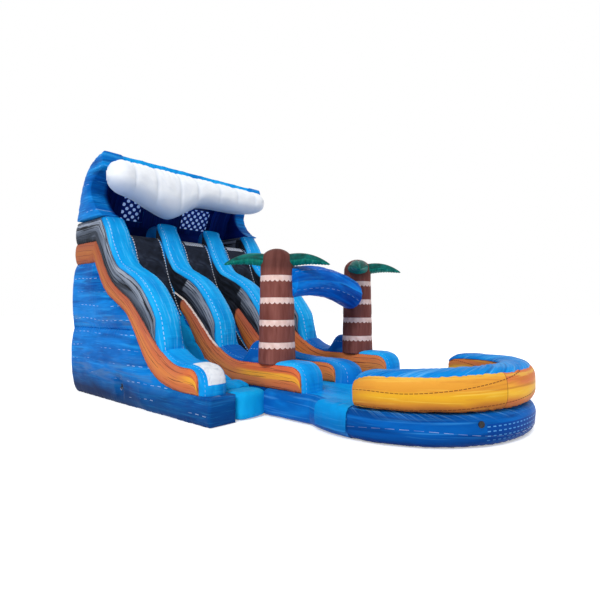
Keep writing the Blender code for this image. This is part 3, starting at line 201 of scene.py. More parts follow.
def at(across, depth, height):
    """World points of places given across, downhill and up."""
    return np.stack(np.broadcast_arrays(LEFT + across, BACK - depth, height), axis=-1).astype(float)


def power(value, exponent):
    """A power that keeps the sign, so that a cosine and a sine trace a superellipse."""
    return np.sign(value) * np.abs(value) ** exponent


def ridge(turns, exponent):
    """Round backs that meet in sharp valleys at whole turns: the size of a sine, to a power."""
    return np.abs(np.sin(math.pi * turns)) ** exponent


def eased(count):
    """Shares from 0 to 1, closer together at both ends: the heights of even steps round a circle."""
    return (1 - np.cos(np.linspace(0, math.pi, count))) / 2


def smooth(points, per_span=8):
    """The Catmull-Rom curve through some points: cubic spans whose end slopes follow their neighbours."""
    p = np.asarray(points, float)
    p = np.vstack([p[:1], p, p[-1:]])
    t = np.linspace(0, 1, per_span, endpoint=False)[:, None]
    spans = [
        0.5 * (2 * b + (c - a) * t + (2 * a - 5 * b + 4 * c - d) * t ** 2 + (3 * b - a - 3 * c + d) * t ** 3)
        for a, b, c, d in zip(p, p[1:], p[2:], p[3:])
    ]
    return np.vstack([*spans, p[-1:]])


def paired(inner, outer, count):
    """Two outlines resampled together, evenly by length along the line midway between them."""
    middle = (inner + outer) / 2
    run = np.concatenate([[0], np.cumsum(np.linalg.norm(np.diff(middle, axis=0), axis=1))])
    want = np.linspace(0, run[-1], count)
    return [np.stack([np.interp(want, run, column) for column in line.T], axis=1) for line in (inner, outer)]


def resample(line, count):
    """The given number of points, evenly spaced by length along a line."""
    line = np.asarray(line, float)
    return paired(line, line, count)[0]


def step(low, high, value):
    """0 below low, 1 above high, and a smooth rise between."""
    t = np.clip((value - low) / (high - low), 0, 1)
    return t * t * (3 - 2 * t)


def noise(x, y, seed=0):
    """Value noise from -1 to 1: a table of random numbers, blended smoothly between its points."""
    x = np.asarray(x, float) + seed * 17.3
    y = np.asarray(y, float) + seed * 9.7
    xi = np.floor(x).astype(int)
    yi = np.floor(y).astype(int)
    fx = step(0, 1, x - xi)
    fy = step(0, 1, y - yi)
    low, high = (
        TABLE[xi % 64, row % 64] * (1 - fx) + TABLE[(xi + 1) % 64, row % 64] * fx for row in (yi, yi + 1)
    )
    return low * (1 - fy) + high * fy


def lengths(points):
    """Mean running lengths of a grid along its rows and along its columns."""
    down = np.linalg.norm(np.diff(points, axis=0), axis=2).mean(axis=1)
    over = np.linalg.norm(np.diff(points, axis=1), axis=2).mean(axis=0)
    return np.concatenate([[0], np.cumsum(down)]), np.concatenate([[0], np.cumsum(over)])


def normals(points):
    """Unit normals of a grid, turned to point away from the middle of each row."""
    n = np.cross(np.gradient(points, axis=0), np.gradient(points, axis=1))
    n /= np.linalg.norm(n, axis=2, keepdims=True) + 1e-12
    away = points - points.mean(axis=1, keepdims=True)
    return n * (1 if (n * away).sum() > 0 else -1)


def ease(points, amount, seed, edge=None, pucker=0.006, slant=0.0):
    """A grid moved along its normals by slow noise, and by short folds that die out away from its seams. The
    folds lean by the slant."""
    along, around = lengths(points)
    s, t = np.meshgrid(along, around, indexing="ij")
    move = noise(s / 0.45, t / 0.14, seed) + 0.5 * noise(s / 0.45 * 2.7, t / 0.14 * 2, seed + 3)
    move = amount * move
    if edge is not None:
        near = np.exp(-np.broadcast_to(edge, s.shape) / 0.055)
        lean = s + slant * t
        folds = noise(lean / 0.045, t / 0.4, seed + 5) * 0.6 + noise(lean / 0.021, t / 0.4, seed + 7) * 0.4
        move = move + pucker * near * folds
    return points + normals(points) * move[..., None]


def shape(points, rise=0.0, edge=1.0, side=0.0):
    """A grid with its three values spread over all its points."""
    size = points.shape[:2]
    return Shape(points, *(np.broadcast_to(np.asarray(value, float), size) for value in (rise, edge, side)))


def closed_ends(form, first, last, blunt=3.0):
    """A shape with rows added at its ends: each end row shrinks to its middle while it swells outwards."""
    shrink = np.array(END_SHARES)
    rise = (1 - shrink ** blunt) ** (1 / blunt)
    points = form.points
    parts = [points]
    pads = [0, 0]
    for end, reach in ((0, first), (-1, last)):
        if reach is None:
            continue
        row = points[end]
        middle = row.mean(axis=0)
        outward = middle - points[4 if end == 0 else -5].mean(axis=0)
        outward /= np.linalg.norm(outward)
        rows = middle + (row - middle) * shrink[:, None, None] + outward * reach * rise[:, None, None]
        parts = [rows[::-1], *parts] if end == 0 else [*parts, rows]
        pads[end] = len(shrink)
    values = (np.pad(value, (tuple(pads), (0, 0)), mode="edge") for value in form[1:])
    return Shape(np.concatenate(parts), *values)


# Meshes

def placed(name, data):
    """A new object at the origin, linked to the scene."""
    made = bpy.data.objects.new(name, data)
    bpy.context.scene.collection.objects.link(made)
    return made


def surface(name, form, look, slot, node=None, flag=0.0, keep=None):
    """A mesh through a shape, with a face for each cell that is kept and has an area. Its place attribute
    holds the running lengths along and around and the rise, and its mark attribute a flag, the distance to
    the seam and the share of the half width."""
    points, rise, edge, side = form
    count, wide = points.shape[:2]
    s, t = np.meshgrid(*lengths(points), indexing="ij")
    flags = np.broadcast_to(flag, s.shape)
    i, j = np.meshgrid(np.arange(count - 1), np.arange(wide - 1), indexing="ij")
    corner = i * wide + j
    faces = np.stack([corner, corner + 1, corner + wide + 1, corner + wide], axis=-1)
    if keep is not None:
        faces = faces[keep]
    faces = faces.reshape(-1, 4)
    grid = points.reshape(-1, 3)
    given = np.cross(grid[faces[:, 2]] - grid[faces[:, 0]], grid[faces[:, 3]] - grid[faces[:, 1]])
    whole = np.linalg.norm(given, axis=1) > 1e-9
    normal = normals(points).reshape(-1, 3)[faces[:, 0]]
    if (normal * given)[whole].sum() < 0:
        faces = faces[:, ::-1]
    faces = faces[whole]
    mesh = bpy.data.meshes.new(name)
    mesh.vertices.add(len(grid))
    mesh.vertices.foreach_set("co", grid.ravel())
    mesh.loops.add(faces.size)
    mesh.loops.foreach_set("vertex_index", faces.ravel())
    mesh.polygons.add(len(faces))
    mesh.polygons.foreach_set("loop_start", np.arange(0, faces.size, 4))
    mesh.update(calc_edges=True)
    for label, columns in (("place", (s, t, rise)), ("mark", (flags, edge, side))):
        data = mesh.attributes.new(label, "FLOAT_VECTOR", "POINT")
        data.data.foreach_set("vector", np.stack(columns, axis=-1).astype(np.float32).ravel())
    mesh.shade_smooth()
    mesh.validate()
    mesh.materials.append(look)
    made = placed(name, mesh)
    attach(made, "slide")
    if node:
        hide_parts(node)
    return made


def band_section():
    """Up the left side, over the top and down the right side, with the columns closer near the seams."""
    rise = eased(13)
    ones = np.ones(len(rise))
    side = np.concatenate([-ones, [-0.5, 0.0, 0.5], ones, [0.5, 0.0, -0.5, -1.0]])
    return side, np.concatenate([rise, [1.0, 1.0, 1.0], rise[::-1], [0.0, 0.0, 0.0, 0.0]])


def crown_section(columns=45, blunt=2.4):
    """Over a rounded top from the left foot to the right foot, as half a superellipse."""
    turn = np.linspace(0, math.pi, columns)
    return -power(np.cos(turn), 2 / blunt), np.sin(turn) ** (2 / blunt)


def tube_section(blunt):
    """All the way round a superellipse from the middle of its foot, as shares of a width and a height."""
    turn = np.linspace(-math.pi / 2, math.pi * 1.5, 61)
    return 0.5 + 0.5 * power(np.cos(turn), 2 / blunt), 0.5 + 0.5 * power(np.sin(turn), 2 / blunt)


BAND = band_section()
CROWN = crown_section()


def strip(inner, outer, centre, width, section, swell, seed, ends, amount=0.002, pucker=0.006):
    """A swollen wall strip: rows run downhill, and each row blends from the inner to the outer outline by
    the section's rise while its sides stand out by the swell times a rounded arch of the rise."""
    side, rise = section
    line = inner[:, None, :] + (outer - inner)[:, None, :] * rise[None, :, None]
    arch = (4 * rise * (1 - rise)) ** SWELL_POWER
    tall = np.linalg.norm(outer - inner, axis=1)[:, None]
    out = np.minimum(swell, tall * 0.25) * arch * np.sign(side) * (np.abs(side) > 0.9)
    points = at(centre + side * width / 2 + out, line[..., 0], line[..., 1])
    edge = np.minimum(rise, 1 - rise)[None, :] * tall
    form = shape(ease(points, amount, seed, edge, pucker), rise[None, :], edge, side[None, :])
    return closed_ends(form, *ends)


def tower_line(shares):
    """A side outline: level from the back of the tower to its first point, then a smooth curve."""
    line = np.array([(DECK_EDGE + RUN * x, BASE + (RAIL_HEIGHT - BASE) * y) for x, y in shares])
    return np.vstack([[0.0, line[0, 1]], smooth(line)])


def from_depth(line, depth):
    """The part of an outline past a depth, starting at it."""
    if depth <= 0:
        return line
    later = line[line[:, 0] > depth]
    return np.vstack([[depth, np.interp(depth, line[:, 0], line[:, 1])], later])


def offset(line, distance):
    """An outline moved up off its slope, or down into it."""
    run = np.gradient(line, axis=0)
    run /= np.linalg.norm(run, axis=1, keepdims=True)
    return line + np.stack([-run[:, 1], run[:, 0]], axis=1) * distance


def lifted(line, amount):
    """Points above a side outline: each of its points moved off the slope by the amounts of its own row."""
    up = offset(line, 1.0) - line
    return line[:, None, :] + up[:, None, :] * amount[..., None]


def wall_lines(start):
    """The rail's crest, the rail's foot, and the top and the foot of the orange band, point for point."""
    crest, top, foot = (
        resample(from_depth(tower_line(shares), start), WALL_ROWS)
        for shares in (RAIL_SHARES, TOP_SHARES, FOOT_SHARES)
    )
    crest[:, 0] = np.minimum(crest[:, 0], RAIL_FOOT)
    top[-1] = (RAIL_FOOT, FOOT_HEIGHT)
    under = offset(crest, -RAIL_DEPTH)
    under[:, 0] = np.maximum(under[:, 0], start)
    fade = step(0.86, 0.955, np.linspace(0, 1, WALL_ROWS))[:, None]
    return crest, under * (1 - fade) + top * fade, top, foot


def low_lines(end, cap):
    """Outlines of a low wall: the orange band's top and foot, and the outer line of the blue cap, which goes
    on past the orange to the wall's end by the cap's length. Each bends down at the end as part of a
    superellipse."""
    share = np.linspace(0, 1, 14)
    fade = (1 - share) ** 2
    depth = RAIL_FOOT + 0.6 * share
    top = np.stack([depth, LOW_WALL + (FOOT_HEIGHT - LOW_WALL) * fade], axis=1)
    foot = np.stack([depth, BASE + 0.026 * (RAIL_HEIGHT - BASE) * fade], axis=1)
    start = end - cap - CAP_BEND
    flat = np.linspace(RAIL_FOOT + 0.64, start, 20)
    turn = np.linspace(0, math.pi / 2, 16)[1:]
    drop = BASE + (LOW_WALL - BASE) * np.cos(turn) ** 0.42
    bend = np.stack([start + CAP_BEND * np.sin(turn), drop], axis=1)
    top = np.vstack([top, np.stack([flat, flat * 0 + LOW_WALL], axis=1), bend])
    foot = np.vstack([foot, np.stack([top[14:, 0], top[14:, 0] * 0 + BASE], axis=1)])
    front = np.stack([
        start + (cap + CAP_BEND) * np.sin(turn) ** 0.9,
        BASE + (LOW_WALL + CAP_DEPTH - BASE) * np.cos(turn) ** 0.55,
    ], axis=1)
    return top, foot, np.vstack([top[:-15] + [0.0, CAP_DEPTH], front])


# Materials

def rgb(code):
    """A linear colour from a hexadecimal sRGB one."""
    parts = [int(code[k:k + 2], 16) / 255 for k in (1, 3, 5)]
    return (*(v / 12.92 if v <= 0.04045 else ((v + 0.055) / 1.055) ** 2.4 for v in parts), 1.0)


class Look:
    """A procedural material. Each method adds its nodes and gives back their output. Its pattern runs along
    and around the piece, or, if level, along world Y and up world Z. A hard piece has no attributes."""

    def __init__(self, name, roughness=0.42, coat=0.0, metallic=0.0, level=False, hard=False):
        self.material = bpy.data.materials.new(name)
        self.material.use_nodes = True
        self.tree = self.material.node_tree
        self.shader = self.tree.nodes["Principled BSDF"]
        for label, value in (
            ("Roughness", roughness), ("Coat Weight", coat), ("Metallic", metallic), ("Coat Roughness", 0.2),
            ("Specular IOR Level", 0.4 if hard else 0.025),
        ):
            self.shader.inputs[label].default_value = value
        self.level = level or hard
        self.where = self.tree.nodes.new("ShaderNodeTexCoord").outputs["Object"]
        self.across, self.far, self.height = self.split(self.where)
        self.along, self.around = self.far, self.height
        if not hard:
            place = self.node("ShaderNodeAttribute", {}, out="Vector", attribute_name="place")
            marks = self.node("ShaderNodeAttribute", {}, out="Vector", attribute_name="mark")
            along, around, self.rise = self.split(place)
            self.flag, self.edge, self.side = self.split(marks)
            if not level:
                self.where = place
                self.along, self.around = along, around

    def node(self, kind, inputs, out=0, **settings):
        """One output of a new node. Each input is another output to link, or a constant."""
        made = self.tree.nodes.new(kind)
        for key, value in settings.items():
            setattr(made, key, value)
        for key, value in inputs.items():
            if isinstance(value, bpy.types.NodeSocket):
                self.tree.links.new(value, made.inputs[key])
            else:
                made.inputs[key].default_value = value
        return made.outputs[out]

    def split(self, vector):
        """The three parts of a vector."""
        node = self.node("ShaderNodeSeparateXYZ", {0: vector}).node
        return [node.outputs[k] for k in range(3)]

    def sum(self, operation, *values):
        """The result of one operation on numbers."""
        return self.node("ShaderNodeMath", dict(enumerate(values)), operation=operation)

    def times(self, a, b):
        """The product of two numbers."""
        return self.sum("MULTIPLY", a, b)

    def gap(self, a, b):
        """The distance between two numbers."""
        return self.sum("ABSOLUTE", self.sum("SUBTRACT", a, b))

    def scaled(self, along, around, seed):
        """The place on the piece, stretched each way and shifted by a seed."""
        scale = (along, along, around) if self.level else (along, around, 0.0)
        shift = (seed * 3.7, seed * 1.3, seed * 5.1)
        inputs = {0: self.where, 1: scale, 2: shift}
        return self.node("ShaderNodeVectorMath", inputs, operation="MULTIPLY_ADD")

    def noise(self, along, around, seed=0, detail=3.0, distortion=0.0, rough=0.5):
        """Clouds from 0 to 1 that repeat so many times a metre each way."""
        return self.node("ShaderNodeTexNoise", {
            "Vector": self.scaled(along, around, seed), "Scale": 1.0, "Detail": detail,
            "Distortion": distortion, "Roughness": rough,
        })

    def ramp(self, share, stops):
        """A colour that goes from stop to stop as the share grows."""
        made = self.node("ShaderNodeValToRGB", {0: share}).node
        band = made.color_ramp
        while len(band.elements) < len(stops):
            band.elements.new(1.0)
        for element, (position, code) in zip(band.elements, stops):
            element.position = position
            element.color = rgb(code)
        return made.outputs[0]

    def span(self, value, low, high, first=0.0, last=1.0):
        """A value carried evenly from one range to another, and held at its ends."""
        return self.node("ShaderNodeMapRange", {0: value, 1: low, 2: high, 3: first, 4: last}, clamp=True)

    def mix(self, share, a, b):
        """The first colour where the share is 0, the second where it is 1."""
        a = rgb(a) if isinstance(a, str) else a
        b = rgb(b) if isinstance(b, str) else b
        return self.node("ShaderNodeMix", {0: share, 6: a, 7: b}, out=2, data_type="RGBA", blend_type="MIX")

    def tint(self, colour, paint, mask, amount):
        """A colour with another paint over it by an amount, where a mask is 1."""
        return self.mix(self.times(mask, amount), colour, paint)

    def lines(self, value, pitch, width):
        """1 within half a width of every multiple of the pitch."""
        turned = self.sum("FRACT", self.sum("MULTIPLY_ADD", value, 1 / pitch, 0.5))
        return self.sum("LESS_THAN", self.gap(turned, 0.5), width / pitch / 2)

    def dashes(self, line, pitch, length):
        """A line broken into dashes along the piece."""
        return self.times(line, self.lines(self.along, pitch, length))

    def strokes(self, colour, paint, along, around, seed, amount, low=0.55, high=0.70, twist=0.6):
        """Long strokes of another paint over a colour."""
        share = self.span(self.noise(along, around, seed, 4, twist), low, high, 0, amount)
        return self.mix(share, colour, paint)

    def finish(self, colour, height, distance, strength, roughness=None):
        """The material, once its colour, its bump of a height and its roughness are linked to the shader."""
        self.tree.links.new(colour, self.shader.inputs["Base Color"])
        bump = self.node("ShaderNodeBump", {"Height": height, "Distance": distance, "Strength": strength})
        self.tree.links.new(bump, self.shader.inputs["Normal"])
        if roughness is not None:
            self.tree.links.new(roughness, self.shader.inputs["Roughness"])
        return self.material

    def pleats(self, colour, paint, amount):
        """Light catching the short folds that run in from the seams."""
        lean = self.sum("MULTIPLY_ADD", self.around, FOLD_SLANT, self.along)
        place = self.node("ShaderNodeCombineXYZ", {0: self.times(lean, 44), 1: self.around, 2: 0.0})
        folds = self.node("ShaderNodeTexNoise", {"Vector": place, "Scale": 1.0, "Detail": 2.0})
        near = self.sum("EXPONENT", self.times(self.edge, -42.0))
        near = self.times(near, self.sum("GREATER_THAN", self.rise, 0.5))
        share = self.times(self.span(folds, 0.50, 0.66, 0.0, amount), near)
        return self.mix(share, colour, paint)

    def creases(self, amount=1.0):
        """Height for the bump of vinyl: soft waves, folds running in from the seams and a fine grain."""
        near = self.sum("EXPONENT", self.times(self.edge, -14.0))
        folds = self.times(self.noise(34, 3, 0, 3, 0.6), near)
        soft = self.noise(3.2, 3.2, 0, 3, 0.5)
        return self.sum("ADD", self.times(folds, 1.6 * amount), self.times(soft, 0.8))

    def cloth(self):
        """The colour of black cloth, a little lighter in long patches."""
        return self.mix(self.span(self.noise(3, 12, 4, 3), 0.4, 0.7), "#171A20", "#2E3440")


def marbled(name, stops, light, dark, streaks, glints=0.0, shade=0.0, level=False):
    """Printed vinyl: clouds drawn out into long streaks, fine scratches of light, and navy painted shade on
    the flagged faces under the hood. If asked, painted dashed glints lie on level lines, and a wavy navy
    painted shade with a pale mist over it rises from the ground at the back."""
    look = Look(name, level=level)
    colour = look.ramp(look.noise(0.55, 3.0, 0, 5, 0.8, 0.6), stops)
    colour = look.strokes(colour, light, 0.8, 15, 3, streaks)
    colour = look.strokes(colour, dark, 0.7, 8, 7, streaks * 1.5, 0.52, 0.68)
    colour = look.strokes(colour, light, 2.4, 70, 5, streaks, 0.60, 0.68, 0.2)
    if shade:
        back = look.span(look.far, BACK - 4.4, BACK - 1.2, 0.55, 1.0)
        drift = look.noise(0.7, 1.6, 21, 3, 1.2)
        wavy = look.sum("MULTIPLY_ADD", drift, 0.5, look.sum("ADD", look.height, -0.25))
        # Painted shade: navy rising from the ground, strongest at the back of the walls.
        low = look.times(look.span(wavy, 0.60, 0.18, 0.0, shade), back)
        colour = look.mix(low, colour, "#0E2148")
        belt = look.times(look.span(wavy, 0.95, 0.55), look.span(wavy, 0.30, 0.5))
        upper = look.times(look.span(wavy, 1.66, 1.5), look.span(wavy, 1.33, 1.42))
        mist = look.span(look.noise(0.8, 7, 13, 5, 1.6), 0.50, 0.64, 0.0, 0.5)
        mist = look.times(look.times(mist, look.sum("MAXIMUM", belt, upper)), back)
        colour = look.mix(mist, colour, "#587A9E")
    if glints:
        wave = look.sum("MULTIPLY_ADD", look.noise(0.8, 0.8, 1, 2), 0.16, look.around)
        glint = look.dashes(look.lines(wave, 0.26, 0.009), 0.17, 0.08)
        patches = look.span(look.noise(1.6, 2.2, 4, 2), 0.48, 0.58)
        colour = look.mix(look.times(look.times(glint, patches), glints), colour, "#D8ECFF")
    # Painted shade: navy on the flagged faces under the hood.
    clouds = look.noise(0.7, 3.0, 2, 4, 0.8)
    inside = look.ramp(clouds, ((0.3, "#03124A"), (0.5, "#061D66"), (0.72, "#0A2C86")))
    colour = look.mix(look.flag, colour, inside)
    return look.finish(colour, look.creases(), 0.006, 0.55)


CAP_STOPS = ((0.3, "#0C84D4"), (0.45, "#129AE8"), (0.58, "#18AAF2"), (0.72, "#32BAFA"), (0.85, "#0E8CDA"))
DEEP_CAP_STOPS = (
    (0.3, "#0A68B8"), (0.45, "#0E7CCE"), (0.58, "#128ADC"), (0.72, "#2A9CE6"), (0.85, "#0A70C0"),
)


def cap_look(name="cap_blue", stops=CAP_STOPS):
    """The end caps: streaked blue, with deep blue painted shade where the flag falls below 0, on the humps
    behind the trunks, and a bare white panel where it is 1, edged by a stitched line."""
    look = Look(name, 0.38)
    colour = look.ramp(look.noise(0.9, 3.2, 0, 5, 0.8), stops)
    # Painted shade: deep blue on the caps' humps behind the trunks.
    behind = look.times(look.span(look.times(look.flag, -1.0), 0.1, 0.9), 0.85)
    colour = look.mix(behind, colour, "#0A4CA4")
    colour = look.strokes(colour, "#5ABBF6", 1.2, 13, 3, 0.4)
    away = look.sum("ABSOLUTE", look.side)
    seam = look.sum("LESS_THAN", look.gap(away, 0.84), 0.006)
    colour = look.tint(colour, "#CDE6FC", look.dashes(seam, 0.07, 0.035), 0.55)
    panel = look.ramp(look.noise(9, 9, 6, 4, 0.8), ((0.3, "#D3D7DE"), (0.5, "#EEF0F3"), (0.8, "#F8F9FA")))
    colour = look.mix(look.span(look.flag, 0.45, 0.55), colour, panel)
    return look.finish(colour, look.creases(), 0.006, 0.5)


def orange_look(name="orange_print", stitched=False):
    """Sunset print. The slopes are orange with pink strokes. The low walls have a pink foot, a yellow stripe
    and a red top. Thin dark lines run along both, a white stitched line edges the slope if asked, and black
    cloth covers the flagged part. Below about a metre the orange is lightened as painted light, most on the
    walls past the lane divider."""
    look = Look(name, 0.44)
    drift = look.noise(0.8, 2.4, 0, 4, 1.0)
    level = look.sum("MULTIPLY_ADD", drift, 0.30, look.sum("ADD", look.rise, -0.15))
    slope = look.ramp(level, (
        (0.0, "#A95A4C"), (0.2, "#C86E48"), (0.5, "#D8854C"), (0.72, "#CC7350"), (1.0, "#B9624F"),
    ))
    low = look.ramp(level, (
        (0.0, "#B4584A"), (0.22, "#CF7148"), (0.40, "#D57A4A"), (0.47, "#F0A83A"), (0.66, "#F4B43A"),
        (0.74, "#D9683E"), (1.0, "#CC5546"),
    ))
    nearby = look.span(look.far, BACK - 3.60, BACK - 3.95)
    nearby = look.times(nearby, look.sum("LESS_THAN", look.across, LEFT + CENTRES[2] - WALL_WIDTH))
    colour = look.mix(nearby, slope, low)
    colour = look.strokes(colour, "#C25A38", 1.2, 15, 2, 0.5)
    colour = look.strokes(colour, "#F3A650", 1.0, 12, 9, 0.45, 0.58, 0.72)
    # Painted light: the orange below about a metre is lightened, most on the walls past the lane divider.
    beyond = look.sum("GREATER_THAN", look.across, LEFT + CENTRES[2] - WALL_WIDTH)
    low_painted_light = look.times(look.span(look.height, 1.2, 0.9), look.sum("MULTIPLY_ADD", beyond, 0.32, 0.16))
    colour = look.mix(low_painted_light, colour, "#FF9646")
    wave = look.sum("MULTIPLY_ADD", look.noise(0.9, 0.9, 5, 2), 0.30, look.rise)
    parts = look.span(look.noise(0.9, 1.3, 8, 1), 0.46, 0.54)
    thin = look.times(look.lines(wave, 0.24, 0.020), parts)
    colour = look.tint(colour, "#5E2E36", thin, 0.85)
    colour = look.strokes(colour, "#7A3C34", 0.7, 30, 17, 0.9, 0.61, 0.64, 1.4)
    colour = look.mix(look.span(look.height, 1.3, 2.7, 0.0, 0.5), colour, "#8A5034")
    saw = look.sum("MULTIPLY_ADD", look.lines(look.along, 0.05, 0.022), 0.010, 0.003)
    trim = look.sum("LESS_THAN", look.edge, saw)
    colour = look.tint(colour, "#7A3B33", trim, 0.5)
    colour = look.mix(look.flag, colour, look.cloth())
    if stitched:
        top = look.span(look.noise(30, 2, 6, 2), 0.35, 0.6, 0.95, 0.915)
        white = look.times(look.sum("GREATER_THAN", look.rise, top), look.span(look.height, 0.98, 1.05))
        colour = look.tint(colour, "#EFE4DC", white, 0.85)
    return look.finish(colour, look.creases(1.3), 0.007, 0.6)


def rail_look():
    """Bright blue rail with two dashed stitch lines whose white dashes are partly painted glints, long light
    streaks and a dark seam, painted shade down its sides and at the back under the hood, and grey rock print
    where flagged."""
    look = Look("bright_rail", 0.36, 0.03)
    colour = look.ramp(look.noise(0.9, 6, 0, 5, 0.7), (
        (0.25, "#0C8EDC"), (0.45, "#12A2EA"), (0.6, "#1AB0F4"), (0.74, "#42C4FC"), (0.85, "#12A4EC"),
    ))
    colour = look.strokes(colour, "#8AD6FF", 2.0, 30, 4, 0.35, 0.58, 0.68)
    away = look.sum("ABSOLUTE", look.side)
    seam = look.sum("LESS_THAN", look.gap(away, 0.72), 0.014)
    colour = look.tint(colour, "#0B62B4", seam, 0.4)
    # The white dashes on the seams stand partly for stitching and partly for painted glints.
    colour = look.tint(colour, "#DFF3FF", look.dashes(seam, 0.085, 0.05), 0.7)
    # Painted shade: darker down the rail's sides.
    low = look.span(look.rise, 0.35, 0.0, 0.0, 0.6)
    colour = look.mix(low, colour, "#0A56AC")
    # Painted shade: darker at the back, where the hood shades the rail.
    colour = look.mix(look.span(look.far, BACK - 1.25, BACK - 0.95, 0.0, 0.6), colour, "#0A3E9C")
    rock = look.mix(look.span(look.noise(1.0, 16, 9, 4, 0.8), 0.4, 0.65), "#6E7684", "#2A2F38")
    colour = look.mix(look.flag, colour, rock)
    return look.finish(colour, look.creases(1.2), 0.006, 0.6)


def rim_look():
    """Blue rim of the pool with slanting streaks of light."""
    look = Look("rim_blue", 0.36, 0.03)
    skew = look.sum("MULTIPLY_ADD", look.around, 1.5, look.along)
    look.where = look.node("ShaderNodeCombineXYZ", {0: skew, 1: look.around, 2: 0.0})
    colour = look.ramp(look.noise(2.2, 1.2, 0, 4, 0.6), (
        (0.3, "#0A72C4"), (0.46, "#0E84D6"), (0.6, "#1294E4"), (0.76, "#2CAAF2"),
    ))
    colour = look.strokes(colour, "#7CCBFA", 16, 1.6, 3, 0.55, 0.56, 0.68)
    colour = look.strokes(colour, "#0A4F9C", 11, 1.4, 6, 0.5, 0.56, 0.70)
    return look.finish(colour, look.creases(1.4), 0.007, 0.6)


def grey_look():
    """Grey rock print with long dark streaks, lighter towards its top and darker towards its foot as painted
    light and shade, and black cloth over the flagged part.
    """
    look = Look("grey_rock", 0.46, 0.02)
    drift = look.noise(1.1, 8, 0, 5, 1.0)
    # Painted light and shade: the rise lightens the rock print towards the band's top and darkens it towards
    # its foot.
    level = look.sum("MULTIPLY_ADD", drift, 1.1, look.sum("MULTIPLY_ADD", look.rise, 0.7, -0.42))
    colour = look.ramp(level, (
        (0.05, "#23282F"), (0.3, "#3C434F"), (0.5, "#656E7D"), (0.7, "#8A93A2"), (0.9, "#A3ABB8"),
    ))
    colour = look.strokes(colour, "#15181D", 0.8, 20, 5, 0.95, 0.58, 0.61, 1.2)
    colour = look.strokes(colour, "#1D2128", 1.4, 38, 8, 0.8, 0.60, 0.63, 0.8)
    trim = look.sum("LESS_THAN", look.edge, 0.008)
    colour = look.tint(colour, "#1B1E24", trim, 0.8)
    colour = look.mix(look.flag, colour, look.cloth())
    return look.finish(colour, look.creases(1.2), 0.006, 0.5)


def liner_look():
    """Woven black sheet with pale ragged stitching at its sides, and a pale ribbed grip patch if flagged."""
    look = Look("black_liner_cloth", 0.55, 0.0)
    colour = look.ramp(look.noise(6, 4, 0, 5, 0.8), ((0.3, "#1B1E26"), (0.55, "#272C38"), (0.75, "#3A4150")))
    colour = look.strokes(colour, "#4A5264", 1.2, 9, 6, 0.4, 0.6, 0.72)
    saw = look.times(look.noise(60, 4, 0, 2), 0.034)
    near = look.times(look.sum("LESS_THAN", look.edge, saw), look.lines(look.along, 0.06, 0.034))
    colour = look.tint(colour, "#E9ECF2", near, 0.85)
    ribs = look.sum("MAXIMUM", look.lines(look.along, 0.035, 0.012), look.lines(look.around, 0.05, 0.012))
    patch = look.mix(look.times(ribs, 0.8), "#D4D9E2", "#5B626E")
    colour = look.mix(look.span(look.flag, 0.45, 0.55), colour, patch)
    weave = look.sum("ADD", look.noise(160, 160, 0, 1), look.times(look.noise(3, 7, 0, 3), 4.0))
    return look.finish(colour, weave, 0.003, 0.5)


def foam_look():
    """White wave foam, with lilac grey painted shade underneath and a little darker painted shade in its
    valleys.
    """
    look = Look("foam_white", 0.42)
    # Painted shade: lilac grey under the crest and in its valleys.
    low = look.span(look.rise, 0.0, -1.0, 0.0, 0.85)
    valley = look.span(look.flag, 0.6, 0.0, 0.0, 0.16)
    soft = look.span(look.noise(4, 4, 0, 4, 0.6), 0.45, 0.7, 0, 0.12)
    colour = look.mix(look.sum("MAXIMUM", soft, look.sum("MAXIMUM", low, valley)), "#FDFEFF", "#AFC0DC")
    return look.finish(colour, look.noise(8, 8, 0, 4, 0.4), 0.006, 0.4)


def pool_look():
    """Pool tube print: brown foot, yellow middle and amber top, redder past the dark front seam. One thin
    dark dashed curve sags and then climbs to the top at the seam, and another lies low before it."""
    look = Look("pool_print", 0.38)
    drift = look.noise(0.5, 1.6, 0, 4, 1.2)
    level = look.sum("MULTIPLY_ADD", drift, 0.5, look.sum("ADD", look.rise, -0.25))
    warm = look.ramp(level, (
        (0.0, "#A4602E"), (0.14, "#C67C34"), (0.28, "#E2A22E"), (0.44, "#EEB22E"), (0.58, "#E69C38"),
        (0.8, "#EBA43E"), (1.0, "#F7CE58"),
    ))
    red = look.ramp(level, (
        (0.0, "#B4643C"), (0.22, "#D2783E"), (0.40, "#F6BE3C"), (0.54, "#F4B43E"), (0.70, "#DE7C46"),
        (1.0, "#D87040"),
    ))
    colour = look.mix(look.flag, warm, red)
    tip = look.span(look.along, 0.55, 0.12, 0.0, 0.6)
    colour = look.mix(tip, colour, "#BE7436")
    colour = look.strokes(colour, "#D08034", 0.9, 11, 4, 0.7, 0.54, 0.66, 1.2)
    colour = look.strokes(colour, "#FAD45A", 1.2, 16, 11, 0.5, 0.58, 0.70)
    colour = look.pleats(colour, "#FCE08A", 0.7)
    bent = look.sum("POWER", look.gap(look.along, 0.8), 1.5)
    main = look.sum("SUBTRACT", look.rise, look.sum("MULTIPLY_ADD", bent, 0.22, 0.52))
    second = look.sum("SUBTRACT", look.rise, look.sum("MULTIPLY_ADD", bent, 0.10, 0.08))
    either = look.sum("MINIMUM", look.sum("ABSOLUTE", main), look.sum("ABSOLUTE", second))
    dark = look.dashes(look.sum("LESS_THAN", either, 0.011), 0.05, 0.038)
    colour = look.tint(colour, "#6A3420", dark, 0.85)
    seam = look.times(look.sum("GREATER_THAN", look.flag, 0.2), look.sum("LESS_THAN", look.flag, 0.8))
    trim = look.sum("MAXIMUM", look.span(look.edge, 0.020, 0.003, 0.0, 0.8), look.times(seam, 0.7))
    colour = look.mix(trim, colour, "#7A4028")
    return look.finish(colour, look.creases(1.6), 0.008, 0.65)


